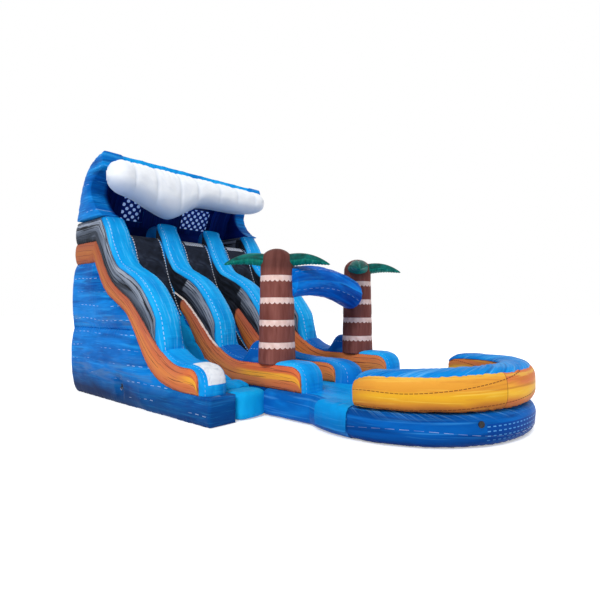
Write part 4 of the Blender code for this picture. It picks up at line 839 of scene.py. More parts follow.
def skirt_look():
    """Blue lower tube, navy painted shade at its foot, with a wavy thin white dashed line of painted glint,
    darker swirls, light on the folds under the printed tube, and a darker dashed panel where flagged."""
    look = Look("skirt_blue", 0.38)
    colour = look.ramp(look.noise(0.6, 3.2, 0, 5, 1.0), (
        (0.28, "#064690"), (0.45, "#085CB0"), (0.6, "#0B6EC6"), (0.74, "#1386DC"), (0.85, "#085EB4"),
    ))
    colour = look.strokes(colour, "#46AAEE", 0.8, 16, 3, 0.5, 0.58, 0.70)
    colour = look.strokes(colour, "#063678", 0.8, 9, 8, 0.7, 0.52, 0.66)
    panel = look.mix(look.dashes(look.lines(look.around, 0.055, 0.014), 0.075, 0.04), "#0A3F92", "#5CA6E4")
    colour = look.tint(colour, panel, look.span(look.flag, 0.4, 0.6), 0.75)
    # Painted shade: navy towards the tube's foot.
    low = look.span(look.rise, 0.50, 0.05, 0.0, 0.85)
    colour = look.mix(low, colour, "#07286A")
    colour = look.pleats(colour, "#8ED0FA", 0.75)
    swing = look.sum("COSINE", look.sum("MULTIPLY_ADD", look.along, 2.2, -1.98))
    away = look.gap(look.rise, look.sum("MULTIPLY_ADD", swing, 0.13, 0.42))
    parts = look.span(look.noise(1.6, 0.6, 15, 3), 0.40, 0.60, 0.1, 0.85)
    glint = look.dashes(look.sum("LESS_THAN", away, 0.009), 0.15, 0.10)
    colour = look.mix(look.times(glint, parts), colour, "#D6EBFC")
    return look.finish(colour, look.creases(1.5), 0.007, 0.6)


def light_look(name, stops, level=False):
    """Light blue landing vinyl with pale lengthwise streaks, and darker blue on its flagged sides."""
    look = Look(name, 0.38, level=level)
    colour = look.ramp(look.noise(1.0, 2.2, 0, 5, 0.8), stops)
    clouds = look.noise(0.8, 4.0, 2, 5, 1.0)
    side = look.ramp(clouds, ((0.3, "#064C98"), (0.55, "#0A64B8"), (0.75, "#1080D2")))
    side = look.strokes(side, "#5FB4F0", 0.9, 16, 3, 0.4)
    colour = look.mix(look.flag, colour, side)
    return look.finish(colour, look.creases(), 0.006, 0.5)


def trunk_look():
    """Brown bark print with cream rings, straight above and scalloped below, a fine upright grain, and a
    painted shadow that darkens the top.
    """
    look = Look("brown_bark", 0.46)
    colour = look.ramp(look.noise(1.6, 9, 0, 4, 0.5), (
        (0.25, "#6E3C35"), (0.5, "#844E46"), (0.65, "#90584F"), (0.85, "#9E665C"),
    ))
    colour = look.strokes(colour, "#5A2B28", 2.5, 26, 3, 0.4)
    scallop = look.sum("ABSOLUTE", look.sum("SINE", look.times(look.around, math.pi / RING_SCALLOP)))
    below = look.sum("SUBTRACT", RING_TOP, look.height)
    turned = look.times(look.sum("FRACT", look.times(below, 1 / RING_PITCH)), RING_PITCH)
    thick = look.sum("MULTIPLY_ADD", scallop, 0.028, 0.075)
    ring = look.sum("LESS_THAN", turned, thick)
    ring = look.times(ring, look.sum("GREATER_THAN", below, 0.0))
    ring = look.times(ring, look.sum("LESS_THAN", below, RING_PITCH * 4))
    cream = look.ramp(look.noise(9, 14, 0, 3), ((0.3, "#E2BDB0"), (0.55, "#F0D0C6"), (0.8, "#F8DFD8")))
    colour = look.mix(ring, colour, cream)
    # Painted shadow: darker towards the top of the trunk.
    colour = look.mix(look.span(look.height, 2.24, 2.36, 0.0, 0.5), colour, "#3E2826")
    return look.finish(colour, look.noise(3, 16, 0, 3, 0.4), 0.004, 0.4)


def frond_look():
    """Glossy dark green leaf above, lighter teal with stripes on its frilled underside."""
    look = Look("palm_green", 0.34, 0.1)
    dark = look.ramp(look.noise(4, 9, 0, 4, 0.8), (
        (0.3, "#053A35"), (0.5, "#095650"), (0.7, "#10746C"), (0.85, "#58BEB0"),
    ))
    pale = look.ramp(look.noise(16, 4, 0, 3), ((0.3, "#0C6A5C"), (0.6, "#168C7A"), (0.8, "#5CC4B2")))
    colour = look.mix(look.flag, dark, pale)
    return look.finish(colour, look.noise(22, 5, 0, 3), 0.004, 0.5)


def arch_look():
    """Deep blue tube with long lighter streaks, two dashed lines of painted glints and wrinkles along it."""
    look = Look("arch_blue", 0.38, 0.02)
    colour = look.ramp(look.noise(0.9, 5, 0, 5, 0.8), (
        (0.3, "#0348A2"), (0.48, "#0564C4"), (0.62, "#0980E2"), (0.78, "#1A9CF6"),
    ))
    colour = look.strokes(colour, "#34A4F6", 0.9, 13, 4, 0.4)
    # Painted highlights: dashed glints along the tube.
    wave = look.sum("MULTIPLY_ADD", look.noise(0.9, 0.5, 3, 1), 0.10, look.around)
    glint = look.dashes(look.lines(wave, 0.26, 0.008), 0.15, 0.08)
    colour = look.tint(colour, "#BFDDF8", glint, 0.45)
    return look.finish(colour, look.noise(2.2, 20, 0, 4, 0.7), 0.008, 0.5)


def net_look():
    """Navy window net with staggered round holes, painted pale blue and glowing as painted light for the sky
    seen through them.
    """
    look = Look("window_net", 0.5, 0.0)
    half = DOT_PITCH / 2
    row = look.sum("FLOOR", look.times(look.along, 1 / half))
    shift = look.times(look.sum("MODULO", row, 2.0), half)
    x = look.sum("FRACT", look.times(look.sum("ADD", look.around, shift), 1 / DOT_PITCH))
    y = look.sum("FRACT", look.times(look.along, 1 / half))
    dx = look.sum("POWER", look.times(look.sum("SUBTRACT", x, 0.5), DOT_PITCH), 2.0)
    dy = look.sum("POWER", look.times(look.sum("SUBTRACT", y, 0.5), half), 2.0)
    hole = look.sum("LESS_THAN", look.sum("ADD", dx, dy), DOT_RADIUS ** 2)
    base = look.ramp(look.noise(30, 30, 0, 2), ((0.3, "#0C2A8C"), (0.7, "#1438A8")))
    colour = look.mix(hole, base, "#8FB4F0")
    # Painted light: the holes glow pale blue.
    look.shader.inputs["Emission Color"].default_value = rgb("#86ACEC")
    look.tree.links.new(look.times(hole, 0.45), look.shader.inputs["Emission Strength"])
    look.tree.links.new(look.span(hole, 0.0, 1.0, 1.0, 0.94), look.shader.inputs["Alpha"])
    return look.finish(colour, look.noise(120, 120, 0, 1), 0.001, 0.4)


def solid_look(name, stops, scale, roughness, metallic=0.0, coat=0.0):
    """A hard piece in its own coordinates: mottled colour, wear in its roughness and a fine grain."""
    look = Look(name, roughness, coat, metallic, hard=True)
    colour = look.ramp(look.noise(scale, scale, 0, 4, 0.4), stops)
    worn = look.noise(scale * 2.2, scale * 2.2, 0, 3)
    rough = look.span(worn, 0.3, 0.7, roughness * 0.75, min(roughness * 1.35, 1.0))
    return look.finish(colour, look.noise(scale * 9, scale * 9, 0, 2), 0.0008, 0.5, rough)


wall_blue = marbled("marbled_wall", (
    (0.28, "#0752A2"), (0.42, "#0A68BC"), (0.55, "#0C78CE"), (0.67, "#108AE0"), (0.78, "#0862B4"),
), light="#2FAAF2", dark="#063C86", streaks=0.42, glints=0.5, shade=0.95, level=True)
hood_blue = marbled("hood_swirl", (
    (0.28, "#0750A2"), (0.42, "#0A66BC"), (0.55, "#0D7CD0"), (0.67, "#1292E4"), (0.78, "#0862B4"),
), light="#3FB2F6", dark="#06367E", streaks=0.5, glints=0.4, level=True)
# Painted shade: a dark navy for the hood's lining and the windows' reveals, which lie under the hood.
navy = marbled("navy_painted_shade", (
    (0.3, "#04144E"), (0.5, "#061E68"), (0.7, "#0A2C86"),
), light="#1D4FA6", dark="#051040", streaks=0.3)
cap_blue = cap_look()
deep_cap_blue = cap_look("deep_cap_blue", DEEP_CAP_STOPS)
orange = orange_look()
stitched_orange = orange_look("orange_print_stitched", True)
rail_blue = rail_look()
rim_blue = rim_look()
grey_rock = grey_look()
liner = liner_look()
foam = foam_look()
pool_print = pool_look()
skirt_blue = skirt_look()
LIGHT_STOPS = ((0.28, "#0A86D2"), (0.45, "#0E98E2"), (0.62, "#14A6EC"), (0.8, "#30B4F4"))
light_blue = light_look("light_landing", LIGHT_STOPS)
floor_blue = light_look("pool_floor", LIGHT_STOPS, True)
# Painted light: the pad's blue is a lighter copy of the landing vinyl's.
pad_blue = light_look("pad_blue", ((0.28, "#0C98DC"), (0.45, "#10A8EA"), (0.62, "#18B6F2"), (0.8, "#38C4FA")))
bark = trunk_look()
leaf = frond_look()
arch_blue = arch_look()
net = net_look()


# Walls

def dark_side(form, index, reach):
    """1 on the lane faces of the bands beside the slide lanes, near the deck, where the liner's cloth
    climbs. Its lower end is the reach, made ragged by noise."""
    depth = BACK - form.points[..., 1]
    ragged = reach + 0.10 * noise(form.points[..., 2] / 0.12, depth / 0.3, index)
    lane = {0: form.side > 0.9, 3: form.side < -0.9}.get(index, np.abs(form.side) > 0.9)
    return np.where(lane & (depth > DECK_EDGE - 0.2), step(-ragged - 0.02, -ragged + 0.02, -depth), 0.0)


def outer_wall(name, index, line):
    """The lower part of an outer wall: each row goes up the outer face and back down the inner one. The
    outer face swells in two chambers that meet at a level seam, each by an arch of its own rise, with
    shallow level ribs. The left one is drawn in where its anchor tab is sewn on."""
    foot = resample(line, 420)
    depth, top = foot[:, :1], foot[:, 1:]
    seam = np.minimum(SEAM_HEIGHT, top)
    rise = eased(27)
    arch = (4 * rise * (1 - rise)) ** SWELL_POWER
    chambers = []
    for low, high, (most, share, least) in zip((0, seam), (seam, top), CHAMBERS):
        tall = high - low
        level = low + tall * rise
        swell = np.minimum(most, tall * share) * arch
        ribs = RIB_DEPTH * (ridge(level / RIB_PITCH, 0.35) - 1) * (arch > 0.05) * (swell > least)
        chambers.append((level, swell + ribs, np.minimum(rise, 1 - rise) * tall))
    z, out, edge = (np.hstack(values) for values in zip(*chambers))
    turn = 1
    if index == 0:
        turn = -1
        away = ((depth - ANCHOR_DEPTH) / 0.12) ** 4 + ((z - ANCHOR_HEIGHT) / 0.16) ** 4
        out = out * (1 - 0.7 * np.exp(-away))
    face = at(CENTRES[index] + turn * (WALL_WIDTH / 2 + out), depth, z)
    face = ease(face, 0.006, 20 + index, edge, 0.009)
    inside = at(CENTRES[index] - turn * WALL_WIDTH / 2, depth, np.hstack([top, top * 0.5, top * 0]))
    points = np.concatenate([face, inside, face[:, :1]], axis=1)
    pad = np.full((len(foot), 4), 0.5)
    form = closed_ends(shape(points, np.hstack([z / 3, pad]), np.hstack([edge, pad])), 0.10, 0.05)
    surface(f"{name}_lower_tube", form, wall_blue, "marbled_blue_vinyl", f"{name}_lower_wall")


def cap_lift(line, index):
    """How far a cap's outer line stands up behind a trunk: a smooth rise and fall along it."""
    depth = line[:, 0]
    return 0.28 * (step(3.72, 3.93, depth) - step(4.18, 4.38, depth)) * (index in (1, 3))


def build_walls():
    """The walls: each band is a strip between two side outlines, swept downhill. The lane divider's low part
    sinks towards its end, the cap's line rises behind a trunk, and the left cap carries a bare panel."""
    for index, (name, end, cap, rail_start, reach) in enumerate(WALLS):
        centre = CENTRES[index]
        divider = index in (1, 2)
        crest, under, top, foot = wall_lines(DECK_EDGE if divider else 0.0)
        low_top, low_foot, low_outer = low_lines(end, cap)
        if index == 2:
            for line in (low_top, low_outer):
                line[:, 1] = BASE + (line[:, 1] - BASE) * (1 - 0.15 * step(3.3, 4.2, line[:, 0]))
        lines = paired(np.vstack([foot[:-1], low_foot]), np.vstack([top[:-1], low_top]), 520)
        look = stitched_orange if index == 1 else orange
        for label, lines, swell, seed, pucker, look, slot, further in (
            ("orange", lines, ORANGE_SWELL, 0, 0.008, look, "orange_vinyl", 0.0),
            ("grey", paired(top, under, 420), GREY_SWELL, 5, 0.007, grey_rock, "grey_rock_vinyl", 0.1),
        ):
            form = strip(*lines, centre, WALL_WIDTH, BAND, swell, index + seed, (swell, None), 0.003, pucker)
            flag = dark_side(form, index, reach + further)
            surface(f"{name}_{label}_tube", form, look, slot, f"{name}_{label}_band", flag=flag)
        if divider:
            under, crest = (
                np.vstack([[(rail_start, height), (DECK_EDGE - 0.03, height)], line])
                for line, height in ((under, DECK_HEIGHT), (crest, RAIL_HEIGHT))
            )
        lines = paired(under, crest, 480)
        form = strip(*lines, centre, WALL_WIDTH + 0.01, CROWN, 0.0, index + 9, (0.05, 0.02))
        rock = step(-1.05, -1.01, form.points[..., 1] - BACK) * (not divider)
        surface(f"{name}_rail_tube", form, rail_blue, "bright_blue_vinyl", f"{name}_rail", flag=rock)
        low_outer[0] = (RAIL_FOOT, FOOT_HEIGHT + 0.005)
        inner, outer = paired(low_top, low_outer, 300)
        outer[:, 1] += cap_lift(outer, index)
        form = strip(inner, outer, centre, WALL_WIDTH + 0.01, CROWN, 0.0, index + 13, (None, 0.02))
        depth = BACK - form.points[..., 1]
        # Painted shade: the cap's hump behind a trunk is flagged below 0 to be painted deep blue.
        behind = (index in (1, 3)) * step(PALM_DEPTH, PALM_DEPTH - 0.2, depth)
        panel = (index == 0) & (form.side > -0.66) & (form.side < 0.78) & (form.rise > 0.3)
        panel = panel & (depth > end - 0.42) & (form.points[..., 2] > 0.58)
        look = deep_cap_blue if index == 2 else cap_blue
        flag = panel * 1.0 - behind
        surface(f"{name}_cap_tube", form, look, "marbled_blue_vinyl", f"{name}_end_cap", flag=flag)
        line = np.vstack([foot, low_foot[1:14], [(TOWER_DEPTH, BASE)]])
        if divider:
            beneath = DECK_HEIGHT - DECK_THICKNESS
            lead = [(BACK_WALL + 0.01, beneath), (DECK_EDGE - 0.30, beneath)]
            line = resample(np.vstack([lead, line[line[:, 1] < beneath]]), 200)
            feet = line * (1, 0)
            form = strip(feet, line, centre, WALL_WIDTH, BAND, 0.0, index, (0.01, 0.01), 0.001, 0.002)
            surface(f"{name}_lower_tube", form, wall_blue, "marbled_blue_vinyl", f"{name}_lower_wall")
        else:
            outer_wall(name, index, line)


# Beds, liners and deck

def bed_line():
    """The slope's outline: a smooth curve through shares of the run and of the deck's height, then level."""
    line = smooth([(DECK_EDGE + RUN * x, BASE + (DECK_HEIGHT - BASE) * y) for x, y in BED_SHARES])
    return np.vstack([line[line[:, 0] < TOWER_DEPTH], [(TOWER_DEPTH, BASE)]])


def build_beds():
    """Beds: the slope's outline swept between two walls. A cosine across gives lengthwise chambers, and
    round step rolls stand on the lower half of the climb. A thin black sheet lies over the deck's edge and
    the upper slope."""
    across = np.linspace(-1, 1, 49)
    wide = np.linspace(-1, 1, 41)
    width = LANE_PITCH - WALL_WIDTH - 0.02
    half = LINER_WIDTH / 2
    for index, (name, steps, share) in enumerate((
        ("climb", True, 0.45), ("left_slide", False, 0.72), ("right_slide", False, 0.72),
    )):
        centre = (CENTRES[index] + CENTRES[index + 1]) / 2
        end = TOWER_DEPTH - PAD_LENGTH if steps else TOWER_DEPTH
        line = bed_line()
        top = line = resample(np.vstack([line[line[:, 0] < end], [(end, BASE)]]), BED_ROWS)
        if steps:
            part = np.clip((np.linspace(0, 1, BED_ROWS) - 0.5) / 0.5, 0, 1)
            top = line + (offset(line, STEP_HEIGHT) - line) * ridge(STEPS * part, 0.6)[:, None]
        under = np.maximum(offset(line, -BED_THICKNESS), (DECK_EDGE, 0.0))
        grid = lifted(top, 0.014 * (np.abs(np.cos(across * math.pi * 2)) ** 0.5 - 1)[None, :])
        upper = at(centre + across * width / 2, grid[..., 0], grid[..., 1])
        lower = at(centre + across[::-8] * width / 2, under[:, :1], under[:, 1:])
        points = np.concatenate([upper, lower, upper[:, :1]], axis=1)
        edge = np.concatenate([(1 - np.abs(across)) * width / 2, np.full(lower.shape[1] + 1, 0.2)])
        form = closed_ends(shape(ease(points, 0.002, index, edge, 0.003), 0.5, edge), 0.01, 0.01)
        surface(f"{name}_bed_tube", form, light_blue, "light_blue_vinyl", f"{name}_bed")
        lead = [(depth, DECK_HEIGHT) for depth in (0.78, 0.95, DECK_EDGE - 0.02)]
        path = offset(resample(np.vstack([lead, top[1:int(BED_ROWS * share)]]), 220), SHEET_LIFT)
        grid = lifted(path, 0.005 + 0.003 * noise(np.linspace(0, 30, 220)[:, None], wide * 4, index))
        points = at(centre + wide * half, grid[..., 0], grid[..., 1])
        depth = path[:, :1]
        grip = (depth > 1.00) & (depth < 1.26) & (np.abs(wide) < 0.8) & (not steps)
        made = surface(
            f"{name}_liner_sheet", shape(points, 0.5, (1 - np.abs(wide)) * half), liner, "black_liner",
            "climb_liner" if steps else f"{name}_liner", flag=grip * 1.0,
        )
        flat = (LINER_WIDTH, float(lengths(points)[0][-1]))


def pillow(name, low, high, look, slot, node, blunt, inset=0.05, rib=0.0):
    """A block-like chamber between two corners: level loops shaped as superellipses, drawn in by the inset
    at the foot and the head. If ribbed, upright tubes stand out of its broad faces and its front is painted
    navy as shade."""
    turn = np.linspace(0, 2 * math.pi, 241) + math.pi / 4
    side = power(np.cos(turn), 2 / blunt)
    ahead = power(np.sin(turn), 2 / blunt)
    rise = eased(49)[:, None]
    drawn = inset * (1 - (1 - np.abs(2 * rise - 1) ** 6) ** 0.5)
    half, middle = (np.array(high) - low) / 2, (np.array(high) + low) / 2
    swell = rib * (ridge((side * half[0] + half[0]) / TUBE_PITCH, 0.5) - 0.7) * (np.abs(ahead) > 0.9)
    across = middle[0] + side * (half[0] - drawn)
    depth = middle[1] + ahead * (half[1] - drawn + swell * np.sin(math.pi * rise) ** 0.4)
    tall = high[2] - low[2]
    edge = np.minimum(rise, 1 - rise) * tall
    points = ease(at(across, depth, low[2] + tall * rise), 0.003, 0, edge, 0.005)
    form = closed_ends(shape(points, rise, edge), 0.002, 0.004, 1.2)
    # Painted shade: the ribbed front, under the hood, is flagged to be painted navy.
    front = (BACK - form.points[..., 1] > middle[1]) & (rib > 0)
    surface(name, form, look, slot, node, flag=front * 1.0)


def build_tower():
    """The back wall's upright tubes, the deck and the rounded pad before the climb lane, each a pillow."""
    near = WALL_WIDTH - 0.01
    far = TOWER_WIDTH - near
    low, high = (near, 0.0, 0.0), (far, BACK_WALL, RAIL_HEIGHT + 0.01)
    pillow("back_wall_tubes", low, high, wall_blue, "marbled_blue_vinyl", "back_wall", 30.0, rib=0.05)
    low, high = (near, BACK_WALL, DECK_HEIGHT - DECK_THICKNESS), (far, DECK_EDGE, DECK_HEIGHT)
    pillow("deck_cushion", low, high, liner, "black_liner", "platform_deck", 30.0, 0.02)
    low = (WALL_WIDTH + 0.02, TOWER_DEPTH - PAD_LENGTH, 0.0)
    high = (LANE_PITCH - 0.02, TOWER_DEPTH + 0.06, BASE)
    pillow("entry_pad_cushion", low, high, pad_blue, "light_blue_vinyl", "entry_pad", 2.9, 0.12)


# Hood, windows and wave crest

def hood_line(shares):
    """A side outline of the hood: a smooth curve through shares of its depth and height over the rails."""
    rise = HOOD_HEIGHT - RAIL_HEIGHT
    return smooth([(HOOD_DEPTH * x, RAIL_HEIGHT + rise * y) for x, y in shares], 24)


def hood_rows():
    """Depths and heights of the hood's outer and inner faces, row by row. The inner outline is the outer one
    moved in by the wall. From the foot to the windows' head, both faces share their heights, so that the
    openings meet."""
    outer = hood_line(HOOD_SHARES)
    inner = offset(outer, -HOOD_WALL)
    inner[:, 0] = np.minimum(inner[:, 0], HOOD_DEPTH)
    inner[0] = (HOOD_WALL, RAIL_HEIGHT)
    inner[-1] = (HOOD_DEPTH, HOOD_HEIGHT - HOOD_WALL)
    inner = inner[np.concatenate([[True], np.diff(inner[:, 1]) > 0])]
    low = np.linspace(RAIL_HEIGHT, WINDOW_SILL, SILL_ROW + 1)
    middle = np.linspace(WINDOW_SILL, WINDOW_HEAD, HEAD_ROW - SILL_ROW + 1)
    for line, top in ((outer, HOOD_HEIGHT), (inner, HOOD_HEIGHT - HOOD_WALL)):
        height = np.concatenate([low, middle[1:], np.linspace(WINDOW_HEAD, top, 31)[1:]])
        yield np.interp(height, line[:, 1], line[:, 0]), height


def build_window(label, centre, width, outer, inner, height):
    """A window: rings round its opening run from the hood's outer face to the inner one, a little drawn in
    halfway, and a net leans with the hood and sags by a sine up it and a parabola across it."""
    ends = centre - width / 2, centre + width / 2
    ones = np.ones(len(height))
    across = np.concatenate([
        ones * ends[0], np.linspace(*ends, len(ones)), ones * ends[1], np.linspace(*ends[::-1], len(ones)),
    ])
    middle = (height[0] + height[-1]) / 2
    outer, inner, z = (
        np.concatenate([line, ones * line[-1], line[::-1], ones * line[0]]) for line in (outer, inner, height)
    )
    share = np.linspace(0, 1, 9)[:, None]
    waist = 0.018 * np.sin(math.pi * share)
    x = across + np.sign(centre - across) * waist * (np.abs(across - centre) > width / 2 - 0.01)
    z = z + np.sign(middle - z) * waist * (np.abs(z - middle) > 0.24)
    points = at(x, outer * (1 - share) + inner * share, z)
    # Painted shade: the reveal is navy.
    surface(f"{label}_reveal", shape(points, 0.5, 0.3), navy, "navy_vinyl")
    v = np.linspace(0, 1, 33)[:, None]
    u = np.linspace(-1, 1, 33)
    sag = 0.012 * (1 - u ** 2) * np.sin(math.pi * v)
    cloth = at(centre + u * width / 2, 0.185 + 0.25 * v + sag, WINDOW_SILL + (WINDOW_HEAD - WINDOW_SILL) * v)
    made = surface(f"{label}_net", shape(cloth, v, 0.3), net, "navy_vinyl", label)


def build_hood():
    """The hood: its outer face, which swells in upright chambers, and its inner face are one sheet between
    two curved outlines, left open at the windows. A lip joins them in front, a navy lining of painted shade
    lies inside, and a fin closes each side, painted navy as shade on its inner face."""
    (outer_depth, outer_height), (inner_depth, inner_height) = hood_rows()
    sides = (a + k * w / 2 for _, a, w in WINDOWS for k in (-1, 1))
    edges = [HOOD_SIDE - 0.01, *sides, TOWER_WIDTH - HOOD_SIDE + 0.01]
    across = np.concatenate([np.linspace(a, b, 25)[:-1] for a, b in zip(edges, edges[1:])] + [edges[-1:]])
    bulge = 0.03 * ridge((across - edges[0]) / HOOD_TUBE_PITCH, 0.5)
    back = ease(at(across, outer_depth[:, None] - bulge, outer_height[:, None]), 0.003, 31)
    front = at(across[::-1], inner_depth[:, None], inner_height[:, None])
    middle = (across[1:] + across[:-1]) / 2
    shut = np.ones((len(back) - 1, len(middle)), bool)
    for _, centre, width in WINDOWS:
        shut[SILL_ROW:HEAD_ROW, np.abs(middle - centre) < width / 2] = False
    joint = np.ones((len(shut), 1), bool)
    points = np.concatenate([back, front, back[:, :1]], axis=1)
    keep = np.hstack([shut, joint, shut[:, ::-1], joint])
    surface("hood_canopy", shape(points, 0.5, 0.3), hood_blue, "marbled_blue_vinyl", "hood_shell", keep=keep)
    rim = np.stack([back[-1], front[-1, ::-1]])
    surface("hood_canopy_lip", shape(rim, 0.5, 0.3), cap_blue, "marbled_blue_vinyl")
    # Painted shade: a navy lining just inside the hood's inner face.
    inside = at(across, inner_depth[:, None] + 0.006, inner_height[:, None] - 0.004)
    surface("hood_canopy_lining", shape(inside, 0.5, 0.3), navy, "navy_vinyl", keep=shut)
    rows = slice(SILL_ROW, HEAD_ROW + 1)
    for window in WINDOWS:
        build_window(*window, outer_depth[rows], inner_depth[rows], outer_height[rows])
    lines = [resample(hood_line(shares), 220) for shares in (HOOD_FRONT_SHARES, HOOD_SHARES)]
    for name, centre, turn in (("left", HOOD_SIDE / 2, 1), ("right", TOWER_WIDTH - HOOD_SIDE / 2, -1)):
        form = strip(*lines, centre, HOOD_SIDE + 0.02, BAND, 0.05, 40, (0.02, 0.03), 0.004, 0.009)
        # Painted shade: the fin's inner face below the hood's top is flagged to be painted navy.
        lining = (form.side * turn > 0.9) & (form.points[..., 2] < HOOD_HEIGHT - HOOD_WALL)
        node = f"{name}_hood_side"
        surface(f"{name}_hood_fin", form, hood_blue, "marbled_blue_vinyl", node, flag=lining * 1.0)


def with_ends(column):
    """A column of row values with its end values repeated, to match a shape that is closed at both ends."""
    return np.pad(column, ((len(END_SHARES), len(END_SHARES)), (0, 0)), mode="edge")


def build_crest():
    """The foam crest: across the tower, an upright half oval stands out from the hood. Its height follows
    the crest's lower outline, its reach dips a little at each valley, and small scallops tuft its upper
    edge."""
    u = np.linspace(0, 1, 460)[:, None]
    table = smooth(CREST_SHARES, 12)
    drop = CREST_HEIGHT * np.interp(u, table[:, 0], table[:, 1]) / 2
    lobe = np.sin(math.pi * np.interp(u, CREST_VALLEYS, np.arange(len(CREST_VALLEYS)))) ** 2
    lobe = lobe / (lobe + 0.12) * 1.12
    near = np.clip(np.minimum(u, 1 - u) / 0.07, 0, 1)
    close = np.sqrt(np.clip(1 - (1 - near) ** 2, 0, 1))
    turn = np.linspace(-math.pi / 2, math.pi * 1.5, 73)
    ahead = np.clip(np.cos(turn), 0, None) ** 0.7
    lift = power(np.sin(turn), 0.8)
    scallop = 0.035 * np.abs(np.sin(math.pi * u * 30 + 0.6 * noise(u * 9, 0, 2))) ** 0.6 + 0.02 * lobe
    z = CREST_HEAD - drop + drop * (0.35 + 0.65 * close) * lift
    z = z + scallop * np.clip(lift, 0, 1) ** 4 * close
    reach = CREST_REACH * ahead * (0.95 + 0.05 * lobe) * (0.3 + 0.7 * close)
    dimple = 0.008 * noise(u * 26, lift * 3, 9) * ahead
    points = at(0.03 + (TOWER_WIDTH - 0.06) * u, HOOD_DEPTH + reach + dimple, z)
    form = closed_ends(shape(points, lift, (1 - np.abs(lift)) * 0.3), 0.02, 0.02)
    surface("foam_crest", form, foam, "white_vinyl", "wave_crest", flag=with_ends(lobe))


# Pool and run-out

def pool_fullness(turn):
    """The share of its full size that the ring has at a turn: a superellipse over the last step at each
    end."""
    near = np.minimum(turn, math.pi - turn) / (math.pi / 24)
    return (1 - (1 - np.clip((near + 0.35) / 2.35, 0, 1)) ** 3) ** (1 / 3)


def pool_band_top(turn):
    """The height of the printed tube's top, a little lower towards the ends."""
    sag = 0.07 * (1 - np.sin(turn))
    return BASE + (BAND_TOP - sag - BASE) * pool_fullness(turn)


def half_ring(turn, section, low, high, full, seed, amount, pucker, reach):
    """Half a ring round the pool, from a height to another: a section given as shares of the wall's width
    and of the height, swept along the front half circle, narrower where it is less full, with folds at its
    seams."""
    width, rise = section
    middle = POOL_WALL / 2
    radius = POOL_RADIUS - POOL_WALL + (middle + (width * POOL_WALL - middle) * full)
    z = low + (high - low) * rise
    points = at(POOL_ACROSS - radius * np.cos(turn), POOL_CENTRE + radius * np.sin(turn), z)
    edge = np.minimum(rise, 1 - rise) * (high - low)
    points = ease(points, amount, seed, edge, pucker, FOLD_SLANT)
    return closed_ends(shape(points, rise, edge, width * 2 - 1), reach, reach)


def build_pool():
    """The pool: the skirt, the printed tube and the rim are half rings, and the floor is a fan of half
    circles that shrink to the centre."""
    turn = np.linspace(0, math.pi, RING_STEPS)[:, None]
    form = half_ring(turn, tube_section(3.0), 0.0, BASE, 1.0, 51, 0.005, 0.012, 0.01)
    panel = step(math.radians(58.7), math.radians(59.3), with_ends(turn)) * (form.side > 0.4)
    panel = panel * (form.rise > 0.22) * (form.rise < 0.70)
    surface("pool_skirt_tube", form, skirt_blue, "marbled_blue_vinyl", "pool_skirt", flag=panel)
    turn = np.linspace(0.05, math.pi - 0.05, RING_STEPS)[:, None]
    full = pool_fullness(turn)
    top = pool_band_top(turn)
    form = half_ring(turn, tube_section(3.2), BASE, top + 0.045 * full, full, 52, 0.005, 0.014, 0.05)
    red = step(math.radians(69.7), math.radians(70.3), with_ends(turn))
    surface("pool_band_tube", form, pool_print, "yellow_vinyl", "pool_band", flag=red)
    width, rise = crown_section(49, 2.3)
    section = (0.06 + 0.80 * (width + 1) / 2, rise)
    form = half_ring(turn, section, top, top + RIM_DEPTH * full, full, 53, 0.004, 0.012, 0.05)
    surface("pool_rim_tube", form, rim_blue, "marbled_blue_vinyl", "pool_rim")
    radius = np.linspace(0, POOL_RADIUS - POOL_WALL + 0.03, 60)[::-1, None]
    angle = np.linspace(0, math.pi, 120)
    z = POOL_FLOOR + 0.006 * noise(radius * 3, angle * 4, 4)
    points = at(POOL_ACROSS - radius * np.cos(angle), POOL_CENTRE + radius * np.sin(angle), z)
    surface("pool_floor_cushion", shape(points, 0.5, 0.3), floor_blue, "light_blue_vinyl", "pool_floor")


